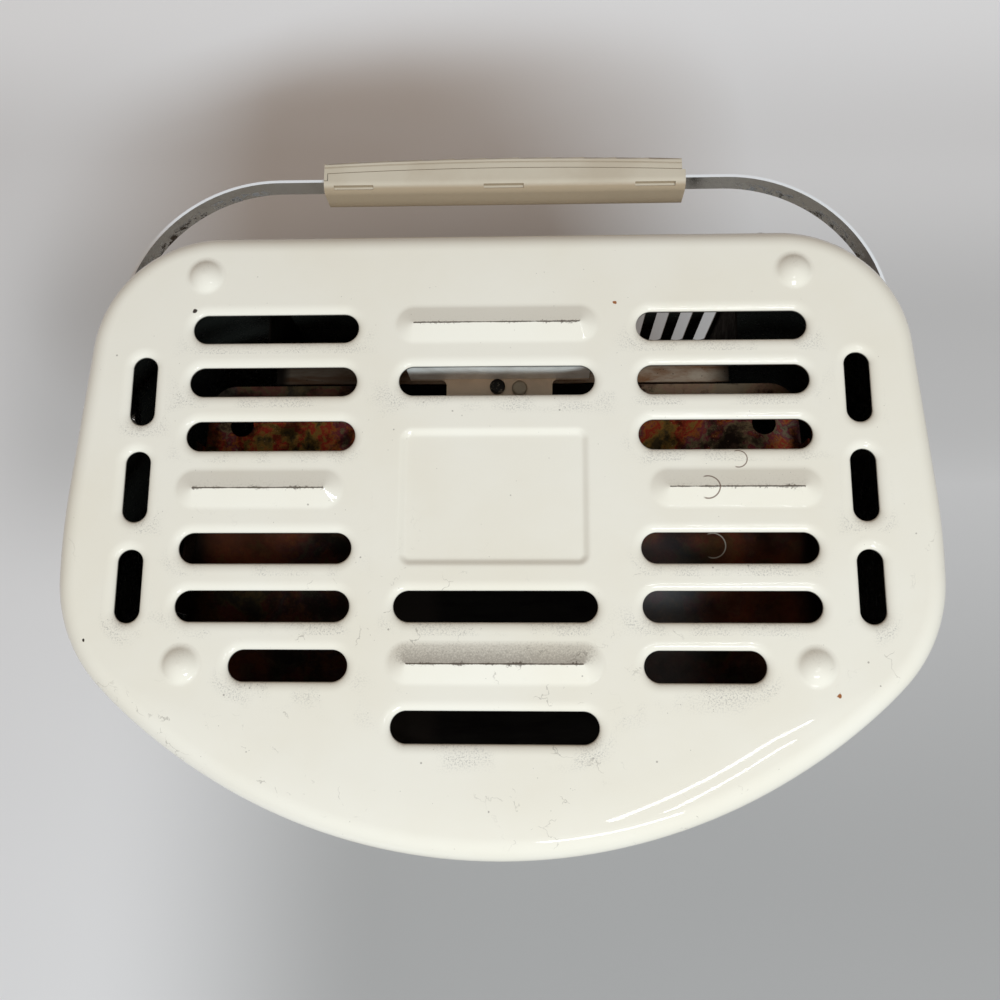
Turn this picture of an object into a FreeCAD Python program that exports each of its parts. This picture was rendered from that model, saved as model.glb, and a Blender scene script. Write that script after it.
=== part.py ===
"""Free-standing radiant gas heater with a slotted top plate and a folding strap handle.

Millimetres. +Z up, the front faces -Y, +X is the heater's left-to-right as seen from the front.
The origin is on the floor, under the middle of the heater with its handle folded back.
"""
import FreeCAD, Part
import math
import os
from FreeCAD import Vector

# Top plate: plan outline
PLATE_W = 345.0
PLATE_D = 248.4
REAR_CORNER_R = 52.0
SIDE_FLARE = 4.5
SHOULDER_R = 300.0
SHOULDER_END = 2.5
FRONT_CORNER_R = 62.0
BOW_START = 45.0

# Top plate: pressing
PLATE_TOP = 430.0
SHEET = 0.8
RIM_R = 9.0
SKIRT = 18.0
LIP_DEPTH = 4.0
MOUTH_R = 1.6

# Top plate: slots, ribs, dimples and recess
ROWS = 8
FIRST_ROW_BACK = 42.2
LAST_ROW_AHEAD = 48.7
SLOT_W = 12.0
SIDE_SLOT_IN = 56.0
SIDE_SLOT_EDGE = 49.0
SHORT_SLOT_EDGE = 71.0
CENTRE_SLOT = 78.0
EDGE_SLOT_EDGE = 30.3
EDGE_SLOT_W = 9.8
EDGE_SLOTS = 3
EDGE_SLOT_BRIDGE = 11.0
EDGE_SLOT_BACK = 68.2
EDGE_SLOT_PAST = 6.3
RIB_W = 14.0
RIB_H = 2.2
CENTRE_RIB = 80.0
SIDE_RIB_IN = 60.3
SIDE_RIB_EDGE = 47.2
DIMPLE_EDGE = 54.5
DIMPLE_D = 14.0
DIMPLE_H = 2.8
BEAD_FOOT_R = 5.0
RECESS_W = 74.0
RECESS_REAR_GAP = 14.55
RECESS_FRONT_GAP = 9.95
RECESS_DEPTH = 1.2
RECESS_SLOPE = 2.0
RECESS_R = 6.5

# Gaps
FIT = 0.3
RUNNING = 0.05
SCREW_GAP = 0.1
WAY = 2.5

# Case
FOOT_H = 9.0
FOOT_D = 24.0
FOOT_STEM_D = 8.0
FOOT_REAR_EDGE = 54.5
FOOT_FRONT_EDGE = 52.5
FOOT_REAR_BACK = 48.0
FOOT_FRONT_PAST = 15.0
BASE_WALL = 25.0
BASE_EDGE_R = 6.0
REAR_PANEL_LAP = 9.0
SEAM_MARGIN = 1.1
FRONT_SEAM_TURN = 29.25
SIDE_RETURN = 9.0
CHAMBER_FLOOR_Z = 128.0
TOP_RAIL_DROP = 32.0
RAIL_RETURN = 12.0
VENT_W = 6.0
VENT_PITCH = 11.5
VENT_H = 80.0
VENT_DROP = 85.0
VENT_EDGE = 3.8
VENT_COUNT = 5
INTAKE_W = 6.0
INTAKE_H = 26.0
INTAKE_Z = 95.0
INTAKE_PITCH = 13.0
INTAKE_COUNT = 7
SCREW_R = 2.0
SCREW_HEAD_R = 3.8
SCREW_HEAD_H = 2.0
SCREW_TAIL = 5.0
PANEL_SCREW_LOW = 70.0
PANEL_SCREW_DROP = 60.0
PLATE_SCREW_DROP = 13.5

# Front guard
GUARD_INSET = 8.0
GUARD_WIRE_R = 1.3
GUARD_ROD_R = 1.8
GUARD_WIRES = 8
GUARD_ROD_ANGLES = (-38.0, -19.0, 0.0, 19.0, 38.0)
GUARD_MARGIN = 26.0

# Heat path
CANOPY_DROP = 50.0
CANOPY_REAR_BACK = 51.0
CANOPY_FRONT_PAST = 7.0
CANOPY_REAR_EDGE = 41.5
CANOPY_FRONT_EDGE = 36.5
CANOPY_CORNER_R = 12.0
CANOPY_FOLD = 14.0
CANOPY_FOLD_BACK = 80.0
CANOPY_HOLE_D = 10.5
CANOPY_HOLE_EDGE = 15.0
CANOPY_HOLE_BACK = 69.2
FLUE_W = 92.0
FLUE_D = 44.0
FLUE_EDGE = 26.0
REFLECTOR_BACK = 56.0
REFLECTOR_GAP = 4.0
REFLECTOR_EDGE = 5.0
REFLECTOR_SHORT = 3.0
REFLECTOR_BEND = 24.0
SHIELD_BACK = 35.0
SHIELD_LAP = 1.0
SHIELD_RISE = 12.0
SHIELD_UNDER = 1.5
SHIELD_GAP = 1.5
SHIELD_BEND = 4.0
BRACKET_T = 1.2
BRACKET_LAP = 4.0
SUPPORT_RISE = 16.0
SUPPORT_BAND_H = 20.0
SUPPORT_BAND_X = 38.5
SUPPORT_TAB_W = 45.5
SUPPORT_ROOT_R = 2.8
SUPPORT_BEHIND_ROW = 11.0
SUPPORT_TAB_LONG = 22.0
SUPPORT_EAR_W = 16.0
RISER_FOOT = 14.0
BRACKET_SCREWS = ((-0.8, 3.6), (8.7, 4.4))
BRACKET_HEAD_R = 3.3

# Burner
BURNER_W = 176.0
BURNER_RISE = 38.0
BURNER_HEADROOM = 30.0
BURNER_BACK = 66.0
BURNER_DEPTH = 28.0
PLAQUE_T = 12.0
PLAQUE_COLUMNS = 3
PLAQUE_ROWS = 2
PLAQUE_JOINT = 1.5
GASKET_T = 2.0
LEDGE = 6.0
FRAME_T = 1.2
FRAME_BORDER = 8.0
FRAME_BAR = 5.0
BURNER_LEG_W = 30.0
MIXER_X = 26.0
MIXER_R = 8.0
MIXER_THROAT_R = 6.0
MIXER_BELL_R = 16.0
MIXER_WALL = 1.5
MIXER_FLANGE_R = 14.0
FEED_BACK = 8.0
NOZZLE_GAP = 6.0
NOZZLE_R = 5.0
NOZZLE_SHANK_R = 3.5
NOZZLE_LONG = 12.0
NOZZLE_BORE_R = 0.8
HOLDER_W = 18.0
HOLDER_H = 16.0

# Gas valve and knob, along the panel's own outward line
VALVE_ANGLE = 30.0
VALVE_Z = 80.0
KNOB_R = 21.0
KNOB_CAP_R = 17.0
KNOB_LIP = 4.0
KNOB_OUT = 22.0
KNOB_SKIRT_T = 4.0
KNOB_GRIP_W = 9.0
KNOB_GRIP_H = 5.0
KNOB_WALL = 2.0
KNOB_HUB_R = 7.0
KNOB_TRAVEL = 5.0
BEZEL_GAP = 1.2
BEZEL_RIM = 6.0
BEZEL_OUT = 2.5
SPINDLE_R = 3.0
SPINDLE_FLAT = 2.2
SPINDLE_OUT = 12.0
SPINDLE_IN = 40.0
SPINDLE_COLLAR_R = 6.0
SPINDLE_COLLAR_T = 3.0
SPRING_R = 5.4
SPRING_WIRE_R = 0.5
SPRING_TURNS = 5
VALVE_NOSE_R = 9.0
VALVE_NOSE_Z = -18.0
VALVE_FRONT = -26.0
VALVE_LONG = 44.0
VALVE_W = 34.0
VALVE_H = 36.0
VALVE_BOSS_R = 8.0
VALVE_BOSS_LONG = 9.0
VALVE_BOSS_Z = -50.0
MAGNET_R = 8.5
MAGNET_LONG = 30.0
VALVE_FOOT = 24.0

# Gas pipes and hose nipple
PIPE_R = 4.0
PIPE_BORE_R = 3.0
PIPE_BEND = 12.0
NIPPLE_EDGE = 21.0
NIPPLE_Z = 60.0
NIPPLE_R = 4.75
NIPPLE_BEAD_R = 6.0
NIPPLE_STRAIGHT = 14.0
NIPPLE_BEAD = 3.0
NIPPLE_LAND = 3.0
NIPPLE_TAPER = 6.0
NIPPLE_TIP_R = 4.0
NIPPLE_FLANGE_R = 11.0
NIPPLE_FLANGE_T = 4.0
NIPPLE_THREAD_R = 7.0
NIPPLE_THREAD = 14.0
NIPPLE_BORE_R = 3.0
NUT_T = 5.0
NUT_R = 11.5

# Ignition, flame sensing and tilt switch
ELECTRODE_X = -62.0
SENSOR_X = 62.0
ELECTRODE_DROP = 14.0
INSULATOR_R = 3.5
INSULATOR_LONG = 30.0
ELECTRODE_WIRE_R = 1.0
ELECTRODE_TIP = 9.0
SENSOR_R = 2.6
SENSOR_LONG = 34.0
LEAD_R = 1.4
LEAD_BEND = 12.0
IGNITER_X = -30.0
IGNITER_BACK = 140.0
IGNITER_W = 50.0
IGNITER_D = 32.0
IGNITER_H = 28.0
CELL_R = 16.7
CELL_LONG = 61.0
CELL_EDGE = 47.0
CELL_Z = 64.0
CASE_WALL = 1.8
CASE_FLANGE = 6.0
CASE_FLANGE_T = 1.5
LID_T = 2.2
LID_PIN_R = 1.5
LID_EAR_T = 3.0
LID_RIB = 1.0
TILT_X = 8.0
TILT_BACK = 112.0
TILT_W = 22.0
TILT_H = 58.0
TILT_D = 16.0
TILT_T = 1.5
TILT_PIN_R = 1.5
TILT_PIN_DROP = 7.0
TILT_ROD_R = 2.0
TILT_BOB_R = 8.5
TILT_BOB_H = 14.0
TILT_BOB_DROP = 30.0

# Handle, folded back level
PIVOT_BACK = 67.2
PIVOT_DROP = 43.0
HANDLE_REACH = 110.8
STRAP_T = 1.3
STRAP_W = 10.5
STRAP_CORNER_R = 68.0
STRAP_TAIL = 8.5
STRAP_CLEAR = 1.2
PIVOT_R = 3.0
PIVOT_HEAD_R = 6.5
PIVOT_HEAD_H = 2.4
PIVOT_BUSH_R = 8.0
PIVOT_NUT_R = 6.0
PIVOT_NUT_T = 4.5
WASHER_GAP = 0.15
STOP_BACK = 40.0
STOP_R = 3.0
STOP_PROUD = 1.5
GRIP_LONG = 163.4
GRIP_SHIFT = 1.4
GRIP_T = 14.0
GRIP_BOW = 1.8
GRIP_H = 19.0
GRIP_FRONT_R = 4.5
GRIP_REAR_R = 1.5
GRIP_SEAM_BACK = 5.6
GRIP_SEAM = 0.3
GRIP_WRAP = 1.5
GRIP_WRAP_DEPTH = 3.4
GRIP_SLOT_GAP = 0.1
GRIP_LINE_BACK = 2.6
GRIP_LINE_W = 0.6
GRIP_LINE_DEPTH = 0.4
GRIP_WINDOW_END = 13.5
GRIP_WINDOW_W = 18.0
GRIP_WINDOW_T = 1.6
GRIP_WINDOW_FRONT = 1.0
GRIP_WINDOW_DEPTH = 2.4

# Places worked out from the sizes above
GRIP_BEHIND = HANDLE_REACH - PIVOT_BACK + GRIP_T / 2 + GRIP_BOW
REAR_Y = (PLATE_D - GRIP_BEHIND) / 2
FRONT_Y = REAR_Y - PLATE_D
PANEL_INSET = SHEET + FIT
PANEL_IN = PANEL_INSET + SHEET
PLATE_UNDER = PLATE_TOP - SHEET
PANEL_TOP = PLATE_TOP - RIM_R + math.sqrt((RIM_R - SHEET) ** 2 - (RIM_R - PANEL_INSET) ** 2) - FIT
BASE_FLOOR = FOOT_H + SHEET
BASE_TOP = FOOT_H + BASE_WALL
REAR_OUT = REAR_Y - PANEL_IN
REAR_IN = REAR_OUT - SHEET
ROW_PITCH = (PLATE_D - FIRST_ROW_BACK - LAST_ROW_AHEAD) / (ROWS - 1)
RECESS_D = 4 * ROW_PITCH - SLOT_W - RECESS_REAR_GAP - RECESS_FRONT_GAP
RECESS_BACK = FIRST_ROW_BACK + ROW_PITCH + SLOT_W / 2 + RECESS_REAR_GAP + RECESS_D / 2
SIDE_SLOT_LONG = PLATE_W / 2 - SIDE_SLOT_EDGE - SIDE_SLOT_IN
SIDE_SLOT_SHORT = PLATE_W / 2 - SHORT_SLOT_EDGE - SIDE_SLOT_IN
EDGE_SLOT_X = PLATE_W / 2 - EDGE_SLOT_EDGE
SIDE_RIB = PLATE_W / 2 - SIDE_RIB_EDGE - SIDE_RIB_IN
SIDE_RIB_X = SIDE_RIB_IN + SIDE_RIB / 2
DIMPLE_X = PLATE_W / 2 - DIMPLE_EDGE
FOOT_REAR_X = PLATE_W / 2 - FOOT_REAR_EDGE
FOOT_FRONT_X = PLATE_W / 2 - FOOT_FRONT_EDGE
TOP_RAIL_Z = PLATE_TOP - TOP_RAIL_DROP
VENT_Z = PLATE_TOP - VENT_DROP
PANEL_SCREW_HIGH = PLATE_TOP - PANEL_SCREW_DROP
PANEL_SCREW_Z = (PANEL_SCREW_LOW, (PANEL_SCREW_LOW + PANEL_SCREW_HIGH) / 2, PANEL_SCREW_HIGH)
CANOPY_Z = PLATE_TOP - CANOPY_DROP
CANOPY_REAR_X = PLATE_W / 2 - CANOPY_REAR_EDGE
CANOPY_FRONT_X = PLATE_W / 2 - CANOPY_FRONT_EDGE
CANOPY_HOLE_X = CANOPY_REAR_X - CANOPY_HOLE_EDGE
REFLECTOR_REAR_X = BURNER_W / 2 + REFLECTOR_GAP
REFLECTOR_FRONT_X = CANOPY_FRONT_X - REFLECTOR_EDGE
SHIELD_BOTTOM = CHAMBER_FLOOR_Z + SHIELD_RISE
SHIELD_TOP = CANOPY_Z - SHIELD_UNDER
SUPPORT_TAB_Z = CANOPY_Z + SUPPORT_RISE
SUPPORT_BACK = FIRST_ROW_BACK + ROW_PITCH - SUPPORT_BEHIND_ROW
BURNER_BOTTOM = CHAMBER_FLOOR_Z + BURNER_RISE
BURNER_H = CANOPY_Z - BURNER_HEADROOM - BURNER_BOTTOM
ALL = 1000.0
TINY = 1e-6


def back(distance):
    """Y of a place that lies this far in front of the top plate's rear edge."""
    return REAR_Y - distance


def polar(centre, radius, degrees):
    """Point on a circle in plan."""
    angle = math.radians(degrees)
    return Vector(centre.x + radius * math.cos(angle), centre.y + radius * math.sin(angle), centre.z)


def outline_centres():
    """Centres of the rear corner, shoulder, front corner and front bow, and the bow's radius."""
    shoulder = Vector(PLATE_W / 2 - SHOULDER_R, 0, 0)
    front = polar(shoulder, SHOULDER_R - FRONT_CORNER_R, -SHOULDER_END)
    to_axis = front.x / math.cos(math.radians(BOW_START))
    bow_r = FRONT_CORNER_R + to_axis
    bow = polar(front, -to_axis, -BOW_START)
    shift = Vector(0, FRONT_Y - (bow.y - bow_r), 0)
    shoulder, front, bow = shoulder + shift, front + shift, bow + shift
    normal = polar(Vector(), 1, SIDE_FLARE)
    reach = normal.dot(shoulder) + SHOULDER_R - REAR_CORNER_R
    rear_y = REAR_Y - REAR_CORNER_R
    rear = Vector((reach - normal.y * rear_y) / normal.x, rear_y, 0)
    return rear, shoulder, front, bow, bow_r


REAR_C, SHOULDER_C, FRONT_C, BOW_C, BOW_R = outline_centres()
SIDE_SEAM_X = REAR_C.x - REAR_PANEL_LAP - SEAM_MARGIN
LAP_X = SIDE_SEAM_X + REAR_PANEL_LAP / 2
VENT_LAST_X = SIDE_SEAM_X - VENT_EDGE
SHIELD_X = SIDE_SEAM_X + SHIELD_LAP
NIPPLE_X = SIDE_SEAM_X - NIPPLE_EDGE
CELL_X = CELL_EDGE - SIDE_SEAM_X
FRONT_SEAM_BACK = REAR_Y - FRONT_C.y + FRONT_CORNER_R * math.sin(math.radians(FRONT_SEAM_TURN))
EDGE_SLOT_LAST = REAR_Y - FRONT_C.y + EDGE_SLOT_PAST
EDGE_SLOT_PITCH = (EDGE_SLOT_LAST - EDGE_SLOT_BACK) / (EDGE_SLOTS - 1)
EDGE_SLOT_LONG = EDGE_SLOT_PITCH - EDGE_SLOT_BRIDGE
FOOT_FRONT_BACK = FRONT_SEAM_BACK + FOOT_FRONT_PAST
CANOPY_FRONT_BACK = FRONT_SEAM_BACK + CANOPY_FRONT_PAST
FLUE_BACK = CANOPY_FRONT_BACK - FLUE_EDGE
REFLECTOR_FRONT_BACK = FRONT_SEAM_BACK - REFLECTOR_SHORT


def joined(arcs, z):
    """Closed wire at height z through (centre, radius, start, end) arcs, with straight runs between them."""
    rounds = []
    for centre, radius, start, end in arcs:
        at = Vector(centre.x, centre.y, z)
        rounds.append([polar(at, radius, angle) for angle in (start, (start + end) / 2, end)])
    edges = []
    for this, following in zip(rounds, rounds[1:] + rounds[:1]):
        edges.append(Part.Arc(*this).toShape())
        if (following[0] - this[2]).Length > TINY:
            edges.append(Part.LineSegment(this[2], following[0]).toShape())
    return Part.Wire(edges)


def outline(inset, z):
    """The heater's plan outline, moved inwards by inset."""
    right = [
        (REAR_C, REAR_CORNER_R - inset, 90, SIDE_FLARE),
        (SHOULDER_C, SHOULDER_R - inset, SIDE_FLARE, -SHOULDER_END),
        (FRONT_C, FRONT_CORNER_R - inset, -SHOULDER_END, -BOW_START),
    ]
    bow = [(BOW_C, BOW_R - inset, -BOW_START, BOW_START - 180)]
    left = [(Vector(-c.x, c.y, 0), r, -180 - end, -180 - start) for c, r, start, end in reversed(right)]
    return joined(right + bow + left, z)


def rounded(cx, cy, width, depth, radius, z):
    """Rounded rectangle in plan; with a radius of half its width it is a slot."""
    x, y = width / 2 - radius, depth / 2 - radius
    corners = [(x, y, 90), (x, -y, 0), (-x, -y, -90), (-x, y, -180)]
    return joined([(Vector(cx + dx, cy + dy, 0), radius, a, a - 90) for dx, dy, a in corners], z)


def prism(wire, height):
    """Solid of a flat wire, extruded upwards."""
    solid = Part.Face(wire).extrude(Vector(0, 0, height))
    if solid.Volume < 0:
        solid.reverse()
    return solid


def block(x, y, z):
    """Box from its three (low, high) ranges."""
    size = [high - low for low, high in (x, y, z)]
    return Part.makeBox(*size, Vector(x[0], y[0], z[0]))


def rod(start, direction, radius, length):
    """Solid cylinder."""
    return Part.makeCylinder(radius, length, start, direction)


def turned(profile, at):
    """Solid of revolution about a vertical axis, from (radius, z) points."""
    wire = Part.makePolygon([Vector(r, 0, z) for r, z in profile + profile[:1]])
    solid = Part.Face(wire).revolve(Vector(), Vector(0, 0, 1), 360)
    solid.translate(at)
    return solid


def bent_path(points, bend):
    """Straight runs through the points, joined by arcs of one radius."""
    edges = []
    start = points[0]
    for before, corner, after in zip(points, points[1:], points[2:]):
        one, two = (before - corner).normalize(), (after - corner).normalize()
        half = one.getAngle(two) / 2
        first, last = corner + one * (bend / math.tan(half)), corner + two * (bend / math.tan(half))
        middle = corner + (one + two).normalize() * (bend / math.sin(half) - bend)
        edges.append(Part.LineSegment(start, first).toShape())
        edges.append(Part.Arc(first, middle, last).toShape())
        start = last
    edges.append(Part.LineSegment(start, points[-1]).toShape())
    return Part.Wire(edges)


def tube(points, bend, radius, bore=0.0):
    """Round tube or wire along a bent path."""
    path = bent_path(points, bend)
    way = points[1] - points[0]
    rings = [Part.Wire(Part.makeCircle(r, points[0], way)) for r in (radius, bore) if r > 0]
    solids = [path.makePipeShell([ring], True, False) for ring in rings]
    return solids[0] if bore == 0 else solids[0].cut(solids[1])


def strip(points, bend, thickness, z, height):
    """Sheet standing on a bent plan path; a negative thickness lies outside right-hand bends."""
    path = bent_path([Vector(x, y, z) for x, y in points], bend)
    return prism_face(path.makeOffset2D(thickness, 0, True, True), height)


def prism_face(face, height):
    """Solid of a flat face, extruded upwards."""
    solid = face.extrude(Vector(0, 0, height))
    if solid.Volume < 0:
        solid.reverse()
    return solid


def mirrored(shape):
    """The same piece on the other side of the heater."""
    return shape.mirror(Vector(), Vector(1, 0, 0))


def ring(inset, z, height):
    """Sheet wall that follows the plan outline."""
    return prism(outline(inset, z), height).cut(prism(outline(inset + SHEET, z), height))


def flat_edges(solid, z):
    """Edges that lie wholly in the plane at height z."""
    level = [e for e in solid.Edges if e.BoundBox.ZMin > z - TINY and e.BoundBox.ZMax < z + TINY]
    return level


def group(solids):
    """Several separate solids in one node."""
    return Part.makeCompound(solids)


def fused(first, others):
    """One solid from a piece and what is joined to it."""
    return first.multiFuse(others).removeSplitter()


# Top plate

def plate_slots():
    """Every slot of the plate as (x, y, size along X, size along Y)."""
    slots = []
    for row in (1, 2, 3, 5, 6, 7):
        length = SIDE_SLOT_SHORT if row == 7 else SIDE_SLOT_LONG
        for side in (-1, 1):
            slots.append((side * (SIDE_SLOT_IN + length / 2), row_y(row), length, SLOT_W))
    for row in (2, 6, 8):
        slots.append((0, row_y(row), CENTRE_SLOT, SLOT_W))
    for step in range(EDGE_SLOTS):
        for side in (-1, 1):
            y = back(EDGE_SLOT_BACK + step * EDGE_SLOT_PITCH)
            slots.append((side * EDGE_SLOT_X, y, EDGE_SLOT_W, EDGE_SLOT_LONG))
    return slots


def row_y(row):
    """Y of a row of slots; row 1 is the rearmost."""
    return back(FIRST_ROW_BACK + (row - 1) * ROW_PITCH)


def slot_prism(slot, grow, z, height):
    """Slot-shaped prism, larger all round by grow."""
    x, y, width, depth = slot
    radius = min(width, depth) / 2 + grow
    return prism(rounded(x, y, width + 2 * grow, depth + 2 * grow, radius, z), height)


def bead(x, y, length, width, rise, drop):
    """Raised bead of round section; drop shrinks it by a sheet's thickness for the hollow below."""
    radius = (width ** 2 / 4 + rise ** 2) / (2 * rise)
    centre_z = PLATE_TOP + rise - radius
    half = max(length - width, 0) / 2
    ends = [Part.makeSphere(radius - drop, Vector(x + dx, y, centre_z)) for dx in (-half, half)]
    if half > 0:
        ends.append(rod(Vector(x - half, y, centre_z), Vector(1, 0, 0), radius - drop, 2 * half))
    solid = ends[0].multiFuse(ends[1:])
    floor = PLATE_TOP - drop
    reach = length + width
    return solid.common(block((x - reach, x + reach), (y - reach, y + reach), (floor, floor + reach)))


def plate_beads():
    """Ribs and dimples as (x, y, length, width, rise)."""
    beads = [(0, row_y(row), CENTRE_RIB, RIB_W, RIB_H) for row in (1, 7)]
    for side in (-1, 1):
        beads.append((side * SIDE_RIB_X, row_y(4), SIDE_RIB, RIB_W, RIB_H))
        beads += [(side * DIMPLE_X, row_y(row), DIMPLE_D, DIMPLE_D, DIMPLE_H) for row in (0, 7)]
    return beads


def recess(grow, z):
    """Shallow tapered pocket, larger all round by grow, with its mouth at height z."""
    wires = []
    for taper, depth in ((0, 0), (RECESS_SLOPE, RECESS_DEPTH)):
        width = RECESS_W + 2 * (grow - taper)
        long = RECESS_D + 2 * (grow - taper)
        wires.append(rounded(0, back(RECESS_BACK), width, long, RECESS_R + grow - taper, z - depth))
    return Part.makeLoft(wires, True, True)


def plate_pan(inset, top, edge_r):
    """Rounded-over pan of the plate's outline."""
    bottom = PLATE_TOP - SKIRT
    pan = prism(outline(inset, bottom), top - bottom)
    return pan.makeFillet(edge_r, flat_edges(pan, top))


def plate_screw_holes():
    """Places of the two screws through the plate's rear skirt."""
    return [Vector(side * LAP_X, REAR_Y, PLATE_TOP - PLATE_SCREW_DROP) for side in (-1, 1)]


def top_plate():
    """Pressed top: rounded rim, rolled slots, ribs, dimples and a recess, all in one sheet."""
    slots = plate_slots()
    plate = plate_pan(0, PLATE_TOP, RIM_R).cut(plate_pan(SHEET, PLATE_UNDER, RIM_R - SHEET))
    lips = [slot_prism(slot, SHEET, PLATE_TOP - LIP_DEPTH, LIP_DEPTH - SHEET / 2) for slot in slots]
    plate = plate.multiFuse(lips)
    plate = plate.cut(group([slot_prism(s, 0, PLATE_TOP - 2 * LIP_DEPTH, 3 * LIP_DEPTH) for s in slots]))
    mouths = [e for e in flat_edges(plate, PLATE_TOP) if is_mouth(e, slots)]
    plate = plate.makeFillet(MOUTH_R, mouths)
    raised = [bead(*b, 0) for b in plate_beads()]
    plate = plate.multiFuse(raised + [recess(SHEET, PLATE_UNDER)])
    plate = plate.makeFillet(BEAD_FOOT_R, [e for e in flat_edges(plate, PLATE_TOP) if is_foot(e)])
    plate = plate.cut(group([bead(*b, SHEET) for b in plate_beads()]))
    plate = plate.cut(recess(0, PLATE_TOP))
    holes = [rod(at, Vector(0, -1, 0), SCREW_R + SCREW_GAP, 2 * SHEET) for at in plate_screw_holes()]
    return plate.cut(group(holes)).removeSplitter()


def is_mouth(edge, slots):
    """Whether a flat edge borders one of the slots."""
    at = edge.CenterOfMass
    return any(abs(at.x - x) < w / 2 + TINY and abs(at.y - y) < d / 2 + TINY for x, y, w, d in slots)


def is_foot(edge):
    """Whether a flat edge is the foot of a rib or a dimple."""
    at = edge.CenterOfMass
    return any(abs(at.x - x) < long / 2 + TINY and abs(at.y - y) < wide / 2 + TINY
               for x, y, long, wide, _ in plate_beads())


# Case

def pivot_point():
    """Middle of the handle's hinge line."""
    return Vector(0, back(PIVOT_BACK), PLATE_TOP - PIVOT_DROP)


def half_width(y, inset):
    """Half the outline's width on the straight run of its flared side."""
    normal = polar(Vector(), 1, SIDE_FLARE)
    return (normal.dot(REAR_C) + REAR_CORNER_R - inset - normal.y * y) / normal.x


def side_panel():
    """Right side panel: wraps the rear corner and ends in a return at the front."""
    y_cut = back(FRONT_SEAM_BACK)
    low = seat_z(PANEL_INSET)
    height = PANEL_TOP - low
    keep = block((SIDE_SEAM_X, ALL), (y_cut, ALL), (0, ALL))
    wall = ring(PANEL_INSET, low, height).common(keep)
    band = prism(outline(PANEL_INSET, low), height)
    band = band.cut(prism(outline(PANEL_INSET + SIDE_RETURN, low), height))
    edge = band.common(block((0, ALL), (y_cut, y_cut + SHEET), (0, ALL)))
    panel = fused(wall, [edge])
    pivot = pivot_point()
    cuts = [rod(pivot, Vector(1, 0, 0), PIVOT_R + SCREW_GAP, ALL)]
    return panel.cut(group(cuts + lap_screw_holes()))


def panel_screw_places():
    """Places of the screws through the laps of the side and rear panels."""
    return [Vector(side * LAP_X, REAR_Y - PANEL_INSET, z) for side in (-1, 1) for z in PANEL_SCREW_Z]


def lap_screw_holes():
    """Clearance holes for every screw through the rear laps."""
    places = panel_screw_places() + plate_screw_holes()
    return [rod(at, Vector(0, -1, 0), SCREW_R + SCREW_GAP, 2 * PANEL_IN) for at in places]


def rear_panel():
    """Flat rear panel with tall vents on the right, air intakes below and the battery hatch."""
    half = SIDE_SEAM_X + REAR_PANEL_LAP
    sheet = block((-half, half), (REAR_IN, REAR_OUT), (seat_z(PANEL_IN), PANEL_TOP))
    through = (REAR_IN - SHEET, REAR_OUT + SHEET)
    cuts = []
    for step in range(VENT_COUNT):
        x = VENT_LAST_X - step * VENT_PITCH
        cuts.append(upright_slot(x, VENT_Z, VENT_W, VENT_H, through))
    for step in range(INTAKE_COUNT):
        x = (step - (INTAKE_COUNT - 1) / 2) * INTAKE_PITCH
        cuts.append(upright_slot(x, INTAKE_Z + INTAKE_H, INTAKE_W, INTAKE_H, through))
    hatch_x, hatch_z = battery_opening()
    cuts.append(block(hatch_x, through, hatch_z))
    nipple = Vector(NIPPLE_X, through[0], NIPPLE_Z)
    cuts.append(rod(nipple, Vector(0, 1, 0), NIPPLE_THREAD_R + SCREW_GAP, ALL))
    return sheet.cut(group(cuts + lap_screw_holes()))


def upright_slot(x, z, width, height, through):
    """Round-ended vertical slot through the rear panel."""
    low, high = z - height / 2 + width / 2, z + height / 2 - width / 2
    depth = through[1] - through[0]
    ends = [rod(Vector(x, through[0], at), Vector(0, 1, 0), width / 2, depth) for at in (low, high)]
    return block((x - width / 2, x + width / 2), through, (low, high)).multiFuse(ends)


def ahead_of_sides():
    """Space in front of the side panels."""
    return block((-ALL, ALL), (-ALL, back(FRONT_SEAM_BACK) - FIT), (0, ALL))


def front_ring(z, height):
    """The part of the case wall that lies between the side panels at the front."""
    return ring(PANEL_INSET, z, height).common(ahead_of_sides())


def front_panel():
    """Curved lower front with the knob's hole."""
    low = seat_z(PANEL_INSET)
    panel = front_ring(low, CHAMBER_FLOOR_Z - low)
    hole = placed(Part.makeCylinder(KNOB_R + BEZEL_GAP, 2 * RIM_R, Vector(0, 0, -RIM_R)))
    return panel.cut(hole)


def front_top_rail():
    """Curved rail under the plate's front edge, with a return that takes the guard's rods."""
    wall = front_ring(TOP_RAIL_Z, PANEL_TOP - TOP_RAIL_Z)
    lip = prism(outline(PANEL_INSET, TOP_RAIL_Z), SHEET)
    lip = lip.cut(prism(outline(PANEL_INSET + RAIL_RETURN, TOP_RAIL_Z), SHEET))
    lip = lip.common(ahead_of_sides())
    return fused(wall, [lip])


def seat_z(inset):
    """Height at which an upright sheet at this inset stands in the pan's rounded edge."""
    return FOOT_H + BASE_EDGE_R - math.sqrt((BASE_EDGE_R - SHEET) ** 2 - (BASE_EDGE_R - inset) ** 2)


def foot_places():
    """Centres of the four feet."""
    rear = [Vector(side * FOOT_REAR_X, back(FOOT_REAR_BACK), 0) for side in (-1, 1)]
    return rear + [Vector(side * FOOT_FRONT_X, back(FOOT_FRONT_BACK), 0) for side in (-1, 1)]


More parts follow.
